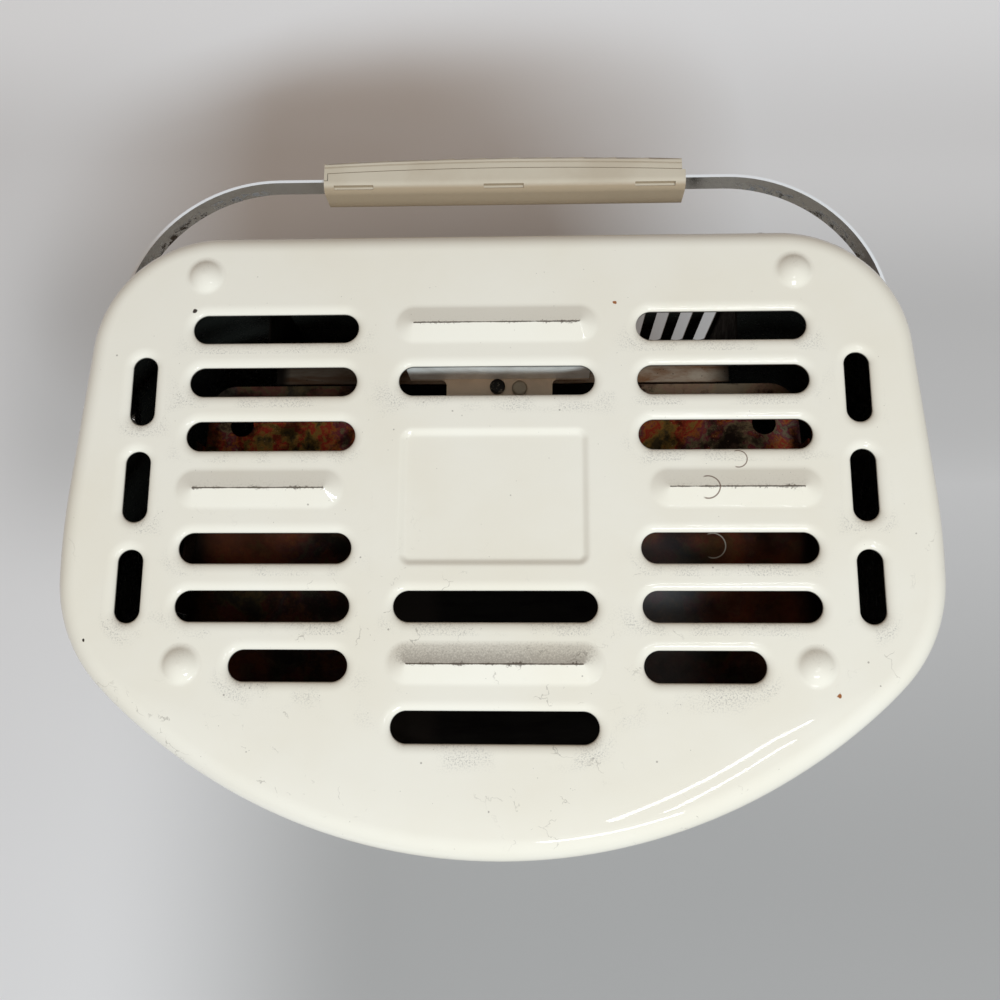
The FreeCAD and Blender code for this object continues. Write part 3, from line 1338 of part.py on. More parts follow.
def battery_case():
    """Moulded box through the rear panel, with a flange outside and two ears for the lid."""
    x, z = battery_opening()
    depth = 2 * CELL_R + 2 * CASE_WALL
    inside = REAR_OUT - depth
    body_x = (x[0] + FIT, x[1] - FIT)
    body_z = (z[0] + FIT, z[1] - FIT)
    box = block(body_x, (inside, REAR_OUT + CASE_FLANGE_T), body_z)
    flange = block((x[0] - CASE_FLANGE, x[1] + CASE_FLANGE), (REAR_OUT, REAR_OUT + CASE_FLANGE_T),
                   (z[0] - CASE_FLANGE, z[1] + CASE_FLANGE))
    room_x = (body_x[0] + CASE_WALL, body_x[1] - CASE_WALL)
    room_z = (body_z[0] + CASE_WALL, body_z[1] - CASE_WALL)
    room = block(room_x, (inside + CASE_WALL, REAR_Y), room_z)
    y_pin, z_pin = hinge_line()
    ears = []
    for low in (x[0] - CASE_FLANGE, x[1] + CASE_FLANGE - LID_EAR_T):
        ear_y = (REAR_OUT, y_pin + LID_PIN_R + LID_RIB)
        ears.append(block((low, low + LID_EAR_T), ear_y, (z_pin - LID_EAR_T, z_pin + LID_EAR_T)))
    pins = rod(Vector(-ALL / 2, y_pin, z_pin), Vector(1, 0, 0), LID_PIN_R + RUNNING, ALL)
    return fused(box, [flange] + ears).cut(room).cut(pins)


def battery_cell():
    """Dry cell lying in its case."""
    y = REAR_OUT - CASE_WALL - CELL_R - RUNNING
    low = CELL_X - CELL_LONG / 2
    can = rod(Vector(low, y, CELL_Z), Vector(1, 0, 0), CELL_R - RUNNING, CELL_LONG - LID_T)
    return can.fuse(rod(Vector(low, y, CELL_Z), Vector(1, 0, 0), CELL_R / 4, CELL_LONG))


def battery_lid():
    """Drop-down lid with a pin at each end and a finger lip at its top."""
    x, z = battery_opening()
    y_pin, z_pin = hinge_line()
    inner = LID_EAR_T + FIT
    lid_x = (x[0] - CASE_FLANGE + inner, x[1] + CASE_FLANGE - inner)
    y = (REAR_OUT + CASE_FLANGE_T + RUNNING, REAR_OUT + CASE_FLANGE_T + RUNNING + LID_T)
    plate = block(lid_x, y, (z_pin, z[1] + CASE_FLANGE - FIT))
    lip_x = (CELL_X - CELL_R / 2, CELL_X + CELL_R / 2)
    lip = block(lip_x, (y[0], y[1] + LID_T), (z[1] + LID_T, z[1] + CASE_FLANGE - FIT))
    barrel = rod(Vector(lid_x[0], y_pin, z_pin), Vector(1, 0, 0), LID_PIN_R + LID_RIB, lid_x[1] - lid_x[0])
    pin_low = x[0] - CASE_FLANGE
    pin = rod(Vector(pin_low, y_pin, z_pin), Vector(1, 0, 0), LID_PIN_R, x[1] + CASE_FLANGE - pin_low)
    return fused(plate, [lip, barrel, pin])


def battery_leads():
    """Pair of leads from the battery case to the spark unit."""
    _, y, z = igniter_place()
    inside = REAR_OUT - 2 * CELL_R - 2 * CASE_WALL
    leads = []
    for step in (-1, 1):
        start = Vector(CELL_X + step * 3 * LEAD_R, inside, CELL_Z)
        end = Vector(IGNITER_X + step * 3 * LEAD_R, y[1], z[0] + IGNITER_H / 2)
        first = Vector(start.x, start.y - 2 * LEAD_BEND, start.z)
        last = Vector(end.x, end.y + 2 * LEAD_BEND, end.z)
        leads.append(tube([start, first, last, end], LEAD_BEND / 2, LEAD_R))
    return group(leads)


def tilt_pin_height():
    """Height of the tilt weight's pin."""
    return BASE_FLOOR + TILT_H - TILT_PIN_DROP


def tilt_switch_frame():
    """Bent bracket with a pin that the tilt weight hangs on."""
    mid = back(TILT_BACK)
    half = TILT_W / 2
    y = (mid - TILT_D / 2, mid + TILT_D / 2)
    z = (BASE_FLOOR, BASE_FLOOR + TILT_H)
    lows = (TILT_X - half, TILT_X + half - TILT_T)
    sides = [block((low, low + TILT_T), y, z) for low in lows]
    foot = block((TILT_X - half, TILT_X + half), y, (z[0], z[0] + TILT_T))
    pin = rod(Vector(TILT_X - half, mid, tilt_pin_height()), Vector(1, 0, 0), TILT_PIN_R, TILT_W)
    return fused(foot, sides + [pin])


def tilt_weight():
    """Pendulum that opens the safety circuit when the heater is tipped."""
    mid = back(TILT_BACK)
    top = tilt_pin_height()
    bob_top = top - TILT_BOB_DROP + TILT_BOB_H / 2
    eye = TILT_PIN_R + TILT_ROD_R
    room = TILT_W - 2 * TILT_T - 2 * FIT
    hub = rod(Vector(TILT_X - room / 2, mid, top), Vector(1, 0, 0), eye, room)
    stem = rod(Vector(TILT_X, mid, bob_top - 1), Vector(0, 0, 1), TILT_ROD_R, top - bob_top + 1)
    bob = rod(Vector(TILT_X, mid, bob_top - TILT_BOB_H), Vector(0, 0, 1), TILT_BOB_R, TILT_BOB_H)
    bob = bob.makeFillet(TILT_ROD_R, flat_edges(bob, bob_top - TILT_BOB_H))
    bore = rod(Vector(TILT_X - TILT_W, mid, top), Vector(1, 0, 0), TILT_PIN_R + RUNNING, 2 * TILT_W)
    return fused(bob, [stem, hub]).cut(bore)


# Handle

def strap_inside():
    """Half the space between the strap's legs: clear of the plate where the legs pass it."""
    return half_width(pivot_point().y - STRAP_W / 2, 0) + STRAP_CLEAR


def handle_strap():
    """Flat strap bent into a bail, with a round-ended leg on each side."""
    pivot = pivot_point()
    inside = strap_inside()
    tail = pivot.y - STRAP_TAIL
    bar = pivot.y + HANDLE_REACH - STRAP_T / 2
    points = [(-inside, tail), (-inside, bar), (inside, bar), (inside, tail)]
    strap = strip(points, STRAP_CORNER_R, -STRAP_T, pivot.z - STRAP_W / 2, STRAP_W)
    ends = [e for e in strap.Edges if e.BoundBox.YMax < tail + TINY and e.BoundBox.XLength > TINY]
    strap = strap.makeFillet(STRAP_W / 2 - FIT, ends)
    return strap.cut(rod(pivot - Vector(ALL / 2, 0, 0), Vector(1, 0, 0), PIVOT_R + RUNNING, ALL))


def bowed(y, z):
    """Edge along the grip: its ends are at y and its middle is bowed to the rear."""
    half = GRIP_LONG / 2
    return Part.Arc(Vector(-half, y, z), Vector(0, y + GRIP_BOW, z), Vector(half, y, z)).toShape()


def grip_slice(front, rear, height):
    """Solid between two edges along the grip."""
    sides = [Part.LineSegment(front.Vertexes[n].Point, rear.Vertexes[n].Point).toShape() for n in (0, 1)]
    return prism(Part.Wire([front, sides[1], rear, sides[0]]), height)


def grip_windows(front, high):
    """Three slits along the grip's upper front edge."""
    outer = GRIP_LONG / 2 - GRIP_WINDOW_END
    y = (front + GRIP_WINDOW_FRONT, front + GRIP_WINDOW_FRONT + GRIP_WINDOW_T)
    z = (high - GRIP_WINDOW_DEPTH, high + GRIP_WINDOW_DEPTH)
    return [block((x - GRIP_WINDOW_W / 2, x + GRIP_WINDOW_W / 2), y, z) for x in (-outer, 0, outer)]


def grip_body():
    """The whole grip: straight front, bowed rear, a fine groove along the top and three slits."""
    pivot = pivot_point()
    half = GRIP_LONG / 2
    low, high = pivot.z - GRIP_H / 2, pivot.z + GRIP_H / 2
    front = pivot.y + HANDLE_REACH - GRIP_T / 2
    rear = front + GRIP_T
    straight = Part.LineSegment(Vector(-half, front, low), Vector(half, front, low)).toShape()
    body = grip_slice(straight, bowed(rear, low), GRIP_H)
    for y, radius in ((front, GRIP_FRONT_R), (rear, GRIP_REAR_R)):
        along = [e for e in body.Edges if e.BoundBox.XLength > GRIP_LONG - FIT]
        body = body.makeFillet(radius, [e for e in along if abs(e.BoundBox.YMin - y) < FIT])
    line, floor = rear - GRIP_LINE_BACK, high - GRIP_LINE_DEPTH
    groove = grip_slice(bowed(line - GRIP_LINE_W, floor), bowed(line, floor), GRIP_H)
    return body.cut(group([groove] + grip_windows(front, high)))


def grip_halves():
    """Rear and front shells of the grip: the rear one wraps one end and its tongue holds the strap."""
    pivot = pivot_point()
    mid = pivot.y + HANDLE_REACH
    half = GRIP_LONG / 2
    low, high = pivot.z - GRIP_H / 2, pivot.z + GRIP_H / 2
    rear = mid + GRIP_T / 2
    seam = rear - GRIP_SEAM_BACK
    covers = []
    for clear in (0, GRIP_SEAM):
        behind = grip_slice(bowed(seam - clear, low), bowed(rear + GRIP_T, low), GRIP_H)
        wrap = block((-half, GRIP_WRAP + clear - half), (seam - GRIP_WRAP_DEPTH - clear, rear), (low, high))
        covers.append(behind.fuse(wrap))
    body = grip_body()
    slot_y, slot_z = STRAP_T / 2 + GRIP_SLOT_GAP, STRAP_W / 2 + GRIP_SLOT_GAP
    strap = block((-ALL, ALL), (mid - slot_y, mid + slot_y), (pivot.z - slot_z, pivot.z + slot_z))
    channel = block((-ALL, ALL), (mid - slot_y, rear), (pivot.z - slot_z, pivot.z + slot_z))
    tongue_x = half - GRIP_WRAP - FIT
    tongue_z = slot_z - FIT
    tongue = block((-tongue_x, tongue_x), (mid + slot_y, seam + GRIP_BOW + FIT),
                   (pivot.z - tongue_z, pivot.z + tongue_z))
    short = block((half - GRIP_WRAP, half), (mid, rear + GRIP_T), (low, high))
    back_shell = fused(body.common(covers[0]), [tongue]).cut(group([strap, short]))
    front_shell = body.cut(covers[1]).cut(channel)
    return [shell.translated(Vector(GRIP_SHIFT, 0, 0)) for shell in (back_shell, front_shell)]


def pivot_line():
    """Start point and outward direction of each pivot."""
    pivot = pivot_point()
    return [(pivot, Vector(side, 0, 0)) for side in (-1, 1)]


def pivot_screws():
    """Shoulder screws that the strap turns on."""
    head_at = strap_inside() + STRAP_T + WASHER_GAP
    inner = half_width(pivot_point().y, PANEL_IN) - PIVOT_NUT_T - SHEET
    screws = []
    for pivot, out in pivot_line():
        shank = rod(pivot + out * inner, out, PIVOT_R, head_at - inner)
        head = rod(pivot + out * head_at, out, PIVOT_HEAD_R, PIVOT_HEAD_H)
        far = [e for e in head.Edges if abs(e.CenterOfMass.x) > head_at + PIVOT_HEAD_H - TINY]
        screws.append(head.makeFillet(PIVOT_HEAD_H / 2, far).fuse(shank))
    return group(screws)


def pivot_bushes():
    """Spacers between the side panels and the strap, cut to the panels' slope."""
    body = prism(outline(PANEL_INSET, 0), PLATE_TOP)
    reach = strap_inside() - WASHER_GAP
    bushes = []
    for pivot, out in pivot_line():
        sleeve = rod(pivot, out, PIVOT_BUSH_R, reach).cut(rod(pivot, out, PIVOT_R + RUNNING, ALL))
        bushes.append(sleeve.cut(body))
    return group(bushes)


def pivot_nuts():
    """Hexagonal nuts inside the side panels."""
    body = prism(outline(PANEL_IN, 0), PLATE_TOP)
    inner = half_width(pivot_point().y, PANEL_IN) - PIVOT_NUT_T
    nuts = []
    for pivot, out in pivot_line():
        corners = [polar(Vector(), PIVOT_NUT_R, 60 * step) for step in range(7)]
        nut = prism(Part.makePolygon(corners), 2 * PIVOT_NUT_T)
        nut = nut.cut(Part.makeCylinder(PIVOT_R + RUNNING, ALL))
        nut.rotate(Vector(), Vector(0, 1, 0), 90 * out.x)
        nut.translate(pivot + out * inner)
        nuts.append(nut.common(body))
    return group(nuts)


def handle_stops():
    """Studs that the folded strap rests on."""
    body = prism(outline(PANEL_INSET, 0), PLATE_TOP)
    reach = strap_inside() + STRAP_T + STOP_PROUD
    z = pivot_point().z - STRAP_W / 2 - STOP_R - SCREW_GAP
    start = Vector(0, back(STOP_BACK), z)
    return group([rod(start, Vector(side, 0, 0), STOP_R, reach).cut(body) for side in (-1, 1)])


def build():
    """Every piece under its node's name."""
    right = side_panel()
    leg = burner_bracket()
    grip_rear, grip_front = grip_halves()
    return {
        "top_plate": top_plate(),
        "side_panel_left": mirrored(right),
        "side_panel_right": right,
        "rear_panel": rear_panel(),
        "front_panel": front_panel(),
        "front_top_rail": front_top_rail(),
        "base_pan": base_pan(),
        "rubber_feet": rubber_feet(),
        "plate_screws": plate_screws(),
        "panel_screws": panel_screws(),
        "front_guard": front_guard(),
        "chamber_floor": chamber_floor(),
        "reflector": reflector(),
        "canopy": canopy(),
        "canopy_riser": canopy_riser(),
        "plate_support": plate_support(),
        "bracket_screws": bracket_screws(),
        "rear_heat_shield": rear_heat_shield(),
        "burner_box": burner_box(),
        "ceramic_plaques": ceramic_plaques(),
        "plaque_frame": plaque_frame(),
        "burner_gasket": burner_gasket(),
        "burner_bracket_left": mirrored(leg),
        "burner_bracket_right": leg,
        "mixing_tube": mixing_tube(),
        "gas_nozzle": gas_nozzle(),
        "nozzle_holder": nozzle_holder(),
        "hose_nipple": hose_nipple(),
        "nipple_nut": nipple_nut(),
        "inlet_pipe": inlet_pipe(),
        "valve_body": valve_body(),
        "valve_bracket": valve_bracket(),
        "valve_spindle": valve_spindle(),
        "knob_spring": knob_spring(),
        "control_knob": control_knob(),
        "knob_bezel": knob_bezel(),
        "magnet_unit": magnet_unit(),
        "gas_pipe": gas_pipe(),
        "igniter_unit": igniter_unit(),
        "ht_lead": ht_lead(),
        "electrode_bracket": electrode_bracket(),
        "electrode_insulator": electrode_insulator(),
        "electrode_rod": electrode_rod(),
        "thermocouple": thermocouple(),
        "thermocouple_lead": thermocouple_lead(),
        "battery_case": battery_case(),
        "battery_cell": battery_cell(),
        "battery_lid": battery_lid(),
        "battery_leads": battery_leads(),
        "tilt_switch_frame": tilt_switch_frame(),
        "tilt_weight": tilt_weight(),
        "handle_strap": handle_strap(),
        "grip_rear": grip_rear,
        "grip_front": grip_front,
        "pivot_screws": pivot_screws(),
        "pivot_bushes": pivot_bushes(),
        "pivot_nuts": pivot_nuts(),
        "handle_stops": handle_stops(),
    }


def main():
    """Write one STEP file for each piece."""
    os.makedirs("parts", exist_ok=True)
    for name, shape in build().items():
        shape.exportStep(os.path.join("parts", name + ".step"))


main()
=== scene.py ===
"""Looks of a free-standing radiant gas heater: enamelled slotted top, strap handle, burner and case."""
import math

import bmesh
import bpy
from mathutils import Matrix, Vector


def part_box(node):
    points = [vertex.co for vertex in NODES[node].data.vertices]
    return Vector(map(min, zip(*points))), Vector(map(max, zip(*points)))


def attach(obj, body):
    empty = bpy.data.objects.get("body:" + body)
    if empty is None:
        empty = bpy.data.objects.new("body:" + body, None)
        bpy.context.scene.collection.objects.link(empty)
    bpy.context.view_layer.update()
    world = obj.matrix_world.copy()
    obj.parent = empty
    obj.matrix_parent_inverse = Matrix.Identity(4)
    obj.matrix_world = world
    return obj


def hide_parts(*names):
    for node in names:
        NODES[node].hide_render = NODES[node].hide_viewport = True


bl_info = {
    "name": "Radiant gas heater",
    "version": (1, 0, 0),
    "blender": (4, 5, 0),
    "location": "3D View > Sidebar > Heater",
    "description": "Builds the pieces, finishes and stage of a radiant gas heater on its frame",
    "category": "Object",
}

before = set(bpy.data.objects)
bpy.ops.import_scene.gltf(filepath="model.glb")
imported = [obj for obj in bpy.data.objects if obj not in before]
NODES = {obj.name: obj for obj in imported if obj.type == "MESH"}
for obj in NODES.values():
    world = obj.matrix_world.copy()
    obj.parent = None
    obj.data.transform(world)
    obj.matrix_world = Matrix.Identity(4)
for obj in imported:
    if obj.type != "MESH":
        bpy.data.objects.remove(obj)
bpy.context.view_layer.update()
PLATE_LOW, PLATE_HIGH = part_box("top_plate")
STRAP_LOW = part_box("handle_strap")[0]
SUPPORT_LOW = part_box("plate_support")[0]
CANOPY_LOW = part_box("canopy")[0]
MM = 0.001
DIMPLE_RISE = 2.8 * MM
PLATE_TOP = PLATE_HIGH.z - DIMPLE_RISE

# Values that the plate's mesh keeps for its enamel; the lip and darkening values carry painted shade
WEAR_AND_SHADE = ("crest", "grime", "lip", "darkening")

# Colours of soil, worn enamel and heat, and of the painted shade and sheen that some of them also stand for
SOOT_AND_SHADE = (0.006, 0.0045, 0.0035, 1.0)
RUST = (0.30, 0.11, 0.035, 1.0)
BARE = (0.04, 0.032, 0.026, 1.0)
HAIR = (0.11, 0.055, 0.035, 1.0)
DUST = (0.24, 0.23, 0.225, 1.0)
TAN_STAIN_AND_SHADE = (0.36, 0.31, 0.25, 1.0)
SOIL = (0.15, 0.12, 0.095, 1.0)
SPECK = (0.12, 0.10, 0.085, 1.0)
WORN = (0.055, 0.038, 0.025, 1.0)
GLINT = (0.62, 0.46, 0.30, 1.0)
EMBER = (0.075, 0.022, 0.010, 1.0)
PAINTED_SHEEN = (0.085, 0.085, 0.09, 1.0)
GROUND_COAT_AND_SHADE = (0.025, 0.026, 0.022, 1.0)
HEAT_TINTS = (
    (0.05, (0.10, 0.08, 0.04, 1)), (0.22, (0.44, 0.28, 0.07, 1)), (0.38, (0.55, 0.05, 0.04, 1)),
    (0.52, (0.58, 0.22, 0.06, 1)), (0.66, (0.32, 0.06, 0.10, 1)), (0.80, (0.36, 0.30, 0.18, 1)),
    (0.95, (0.12, 0.08, 0.06, 1)),
)

# Single marks: place, radius and colour of a spot, or place, radius and width of a hair
PLATE_MARKS = (
    (Vector((127.1 * MM, -89.6 * MM, PLATE_TOP)), 1.1 * MM, RUST),
    (Vector((-123.1 * MM, 63.3 * MM, PLATE_TOP)), 1.1 * MM, BARE),
    (Vector((47.5 * MM, 65.3 * MM, PLATE_TOP)), 0.9 * MM, RUST),
    (Vector((0.1 * MM, 60.8 * MM, PLATE_TOP + 2 * MM)), 0.6 * MM, BARE),
    (Vector((-157.5 * MM, -69.9 * MM, PLATE_TOP)), 0.7 * MM, BARE),
)
PLATE_HAIRS = (
    (Vector((81.8 * MM, -11.0 * MM, PLATE_TOP)), 4.4 * MM, 0.36 * MM),
    (Vector((94.0 * MM, 0.5 * MM, PLATE_TOP)), 3.4 * MM, 0.30 * MM),
)
CANOPY_HAIR = (Vector((91.7 * MM, -25.8 * MM, CANOPY_LOW.z)), 5.4 * MM, 0.34 * MM)

# Pressed forms of the plate, whose soft shoulder ends RIM_INSIDE from its edge
RIM_INSIDE = 9.6 * MM
RIM_SEGMENTS = 240
FORM_SEGMENTS = 48
CENTRE_HALF = 33 * MM
DIMPLE_X = 119.5 * MM

# Panes that the gloss mirrors: share of the power, width and height, place
PANES = (
    (0.7, (0.60, 0.03), (0.47, -0.50, 2.31)),
    (0.35, (0.40, 0.02), (0.55, -0.59, 2.26)),
    (5.0, (0.56, 0.24), (0.37, -1.29, 1.86)),
)


class HeaterPlate(bpy.types.PropertyGroup):
    """Sizes of the pressed top plate."""

    dimple_rise: bpy.props.FloatProperty(
        name="Dimple rise", description="Height of the four dimples", default=DIMPLE_RISE, unit="LENGTH")
    dimple: bpy.props.FloatProperty(
        name="Dimple", description="Half the width of the dimples", default=7.0 * MM, unit="LENGTH")
    rib_rise: bpy.props.FloatProperty(
        name="Rib rise", description="Height of the ribs", default=2.7 * MM, unit="LENGTH")
    rib_slope: bpy.props.FloatProperty(
        name="Rib slope", description="Slope of the ribs' flanks", default=math.radians(20), subtype="ANGLE")
    foot: bpy.props.FloatProperty(
        name="Foot", description="Radius of the hollow foot: taken twice for a dimple, three times for a rib",
        default=1.7 * MM, unit="LENGTH")
    sheet: bpy.props.FloatProperty(
        name="Sheet", description="Thickness of the enamelled sheet", default=0.8 * MM, unit="LENGTH")
    shoulder: bpy.props.FloatProperty(
        name="Shoulder", description="Width of the soft shoulder along the bow", default=24.0 * MM,
        unit="LENGTH")
    shoulder_fall: bpy.props.FloatProperty(
        name="Shoulder fall", description="Fall of the soft shoulder at the bow's edge", default=2.2 * MM,
        unit="LENGTH")
    rim: bpy.props.FloatProperty(
        name="Rim", description="Radius of the rounded rim", default=9.0 * MM, unit="LENGTH")
    mouth: bpy.props.FloatProperty(
        name="Slot mouth", description="Width of the slots' rolled edge", default=4.0 * MM, unit="LENGTH")
    mouth_drop: bpy.props.FloatProperty(
        name="Mouth drop", description="Depth of the slots' rolled edge", default=2.1 * MM, unit="LENGTH")
    row_pitch: bpy.props.FloatProperty(
        name="Row pitch", description="Distance between rows of slots", default=22.5 * MM, unit="LENGTH")
    first_row: bpy.props.FloatProperty(
        name="First row", description="From the rear edge to the first row", default=42.2 * MM, unit="LENGTH")


class HeaterColours(bpy.types.PropertyGroup):
    """Colours of the visible finishes."""

    enamel: bpy.props.FloatVectorProperty(
        name="Enamel", description="Cream of the plate and the case", subtype="COLOR", size=4,
        default=(0.78, 0.745, 0.655, 1.0))
    grip: bpy.props.FloatVectorProperty(
        name="Grip", description="Beige of the grip", subtype="COLOR", size=4,
        default=(0.56, 0.50, 0.40, 1.0))
    # Painted shade on the grip's front faces
    grip_front: bpy.props.FloatVectorProperty(
        name="Grip front", description="Browner beige of the grip's front faces", subtype="COLOR", size=4,
        default=(0.36, 0.28, 0.19, 1.0))
    floor: bpy.props.FloatVectorProperty(
        name="Floor", description="Pale floor under the heater", subtype="COLOR", size=4,
        default=(0.77, 0.76, 0.76, 1.0))
    # Painted light on the floor behind
    floor_painted_light: bpy.props.FloatVectorProperty(
        name="Floor behind", description="The floor's lighter tone behind", subtype="COLOR", size=4,
        default=(0.99, 0.99, 1.0, 1.0))
    # Painted shade on the floor in front and painted shadow on its left
    floor_painted_shade: bpy.props.FloatVectorProperty(
        name="Floor in front", description="The floor's darker tone in front", subtype="COLOR", size=4,
        default=(0.41, 0.405, 0.40, 1.0))


class HeaterStage(bpy.types.PropertyGroup):
    """Camera and lights."""

    eye: bpy.props.FloatVectorProperty(
        name="Camera place", description="Where the camera stands", subtype="TRANSLATION",
        default=(15.79 * MM, -93.38 * MM, 809.23 * MM))
    turn: bpy.props.FloatVectorProperty(
        name="Camera turn", description="How the camera is turned", subtype="EULER",
        default=(math.radians(11.584), math.radians(2.068), math.radians(0.276)))
    lens: bpy.props.FloatProperty(
        name="Lens", description="Focal length on a 36 mm frame", default=36.0, unit="CAMERA")
    key: bpy.props.FloatProperty(
        name="Key light", description="Power of the front right window", default=40.0, unit="POWER")
    bearing: bpy.props.FloatProperty(
        name="Bearing", description="Turn of the window from the front to the right", subtype="ANGLE",
        default=math.radians(19))
    height: bpy.props.FloatProperty(
        name="Height", description="Angle of the window above the plate", subtype="ANGLE",
        default=math.radians(50))
    pane: bpy.props.FloatProperty(
        name="Pane", description="Power that each mirrored pane takes a share of", default=1.3,
        unit="POWER")
    fill: bpy.props.FloatProperty(
        name="Ceiling light", description="Power of the lamp overhead", default=7.5, unit="POWER")
    sky: bpy.props.FloatProperty(name="Sky", description="Strength of the room's own light", default=0.28)


# Shader building

def fill_inputs(tree, made, values):
    """Link or fill in a node's inputs."""
    for key, value in values.items():
        if isinstance(value, bpy.types.NodeSocket):
            tree.links.new(value, made.inputs[key])
        else:
            made.inputs[key].default_value = value
    return made


def add_node(tree, kind, values=None, **attributes):
    """A node with its attributes set and its inputs linked or filled in."""
    made = tree.nodes.new("ShaderNode" + kind)
    for name, value in attributes.items():
        setattr(made, name, value)
    return fill_inputs(tree, made, values or {})


def mixed(tree, factor, low, high, blend="MIX"):
    """Colour between two colours or sockets; a colour mix takes them at its inputs 6 and 7."""
    node = add_node(tree, "Mix", {0: factor, 6: low, 7: high}, data_type="RGBA", blend_type=blend)
    return node.outputs[2]


def math_node(tree, operation, first, second=0.0, clamp=False):
    """Value of one sum on two values or sockets."""
    node = add_node(tree, "Math", {0: first, 1: second}, operation=operation, use_clamp=clamp)
    return node.outputs[0]


def centred(tree, value):
    """Value less one half, so that noise swings about nought."""
    return math_node(tree, "SUBTRACT", value, 0.5)


def product(tree, first, *others):
    """Product of several values or sockets."""
    for other in others:
        first = math_node(tree, "MULTIPLY", first, other)
    return first


def largest(tree, first, *others):
    """Largest of several values or sockets."""
    for other in others:
        first = math_node(tree, "MAXIMUM", first, other)
    return first


def vector_node(tree, operation, *given):
    """Outputs of one sum on vectors."""
    return add_node(tree, "VectorMath", dict(enumerate(given)), operation=operation).outputs


def ranged(tree, value, low, high, to_low=0.0, to_high=1.0):
    """Value moved smoothly from one range to another."""
    inputs = {0: value, 1: low, 2: high, 3: to_low, 4: to_high}
    return add_node(tree, "MapRange", inputs, interpolation_type="SMOOTHSTEP").outputs[0]


def ramp(tree, value, stops):
    """Colour ramp through (place, colour) stops."""
    node = add_node(tree, "ValToRGB", {0: value})
    marks = node.color_ramp.elements
    while len(marks) < len(stops):
        marks.new(0.5)
    for mark, (place, colour) in zip(marks, stops):
        mark.position = place
        mark.color = colour
    return node.outputs[0]


def noise(tree, coords, scale, detail=4.0, roughness=0.55, distortion=0.0):
    """Fractal noise value, with scale in cycles for each metre."""
    inputs = {"Vector": coords, "Scale": scale, "Detail": detail, "Roughness": roughness,
              "Distortion": distortion}
    return add_node(tree, "TexNoise", inputs).outputs["Fac"]


def axes(tree, coords):
    """X, Y and Z of a coordinate."""
    return add_node(tree, "SeparateXYZ", {0: coords}).outputs


def normals(tree):
    """Direction that each face of a piece looks in."""
    return add_node(tree, "TexCoord").outputs["Normal"]


def attribute(tree, name):
    """A value kept on the piece's own mesh."""
    return add_node(tree, "Attribute", attribute_name=name).outputs["Fac"]


def new_group(name, inputs, outputs):
    """Empty node group with a place, named inputs and outputs; returns its tree, inputs and output node."""
    tree = bpy.data.node_groups.new(name, "ShaderNodeTree")
    for label, default in {"Coords": None, **inputs}.items():
        kind = "NodeSocketVector" if default is None else "NodeSocketFloat"
        socket = tree.interface.new_socket(label, in_out="INPUT", socket_type=kind)
        if default is not None:
            socket.default_value = default
    for label in outputs:
        tree.interface.new_socket(label, in_out="OUTPUT", socket_type="NodeSocketFloat")
    return tree, tree.nodes.new("NodeGroupInput").outputs, tree.nodes.new("NodeGroupOutput")


def speck_group():
    """Fine dark specks in patches: mask of dots whose number follows Amount."""
    tree, given, out = new_group("Specks", {"Scale": 900.0, "Amount": 0.3}, ["Mask"])
    cells = add_node(tree, "TexVoronoi", {"Vector": given["Coords"], "Scale": given["Scale"]})
    dots = ranged(tree, cells.outputs["Distance"], 0.26, 0.14)
    pick = add_node(tree, "SeparateColor", {0: cells.outputs["Color"]}).outputs[0]
    patch = noise(tree, given["Coords"], 75.0)
    level = product(tree, ranged(tree, patch, 0.40, 0.70), given["Amount"])
    kept = math_node(tree, "LESS_THAN", pick, level)
    fill_inputs(tree, out, {"Mask": product(tree, dots, kept)})
    return tree


def scuff_group():
    """Uneven tone and gloss of a used surface: a slow stain and a fine scuff."""
    tree, given, out = new_group("Scuffs", {"Stain size": 12.0, "Scuff size": 240.0}, ["Stain", "Scuff"])
    stain = noise(tree, given["Coords"], given["Stain size"], 5.0)
    scuff = noise(tree, given["Coords"], given["Scuff size"], 6.0, 0.65)
    masks = {"Stain": ranged(tree, stain, 0.35, 0.7), "Scuff": ranged(tree, scuff, 0.35, 0.75)}
    fill_inputs(tree, out, masks)
    return tree


def spot_group():
    """Ragged round spot at one place on a piece."""
    tree, given, out = new_group("Spot", {"Place": None, "Radius": 2 * MM}, ["Mask"])
    gap = vector_node(tree, "DISTANCE", given["Coords"], given["Place"])["Value"]
    ragged = product(tree, noise(tree, given["Coords"], 700.0, 4.0), 1.8)
    inside = math_node(tree, "DIVIDE", gap, product(tree, given["Radius"], ragged))
    fill_inputs(tree, out, {"Mask": ranged(tree, inside, 1.1, 0.7)})
    return tree


def hair_group():
    """Thin curved hair mark, open to the left."""
    tree, given, out = new_group("Hair", {"Place": None, "Radius": 4 * MM, "Width": 0.3 * MM}, ["Mask"])
    offset = vector_node(tree, "SUBTRACT", given["Coords"], given["Place"])[0]
    across, along, _ = axes(tree, offset)
    flat = add_node(tree, "CombineXYZ", {0: across, 1: along}).outputs[0]
    length = vector_node(tree, "LENGTH", flat)["Value"]
    gap = math_node(tree, "ABSOLUTE", math_node(tree, "SUBTRACT", length, given["Radius"]))
    line = ranged(tree, math_node(tree, "DIVIDE", gap, given["Width"]), 1.0, 0.5)
    side = ranged(tree, math_node(tree, "DIVIDE", across, given["Radius"]), -0.5, -0.2)
    fill_inputs(tree, out, {"Mask": product(tree, line, side)})
    return tree


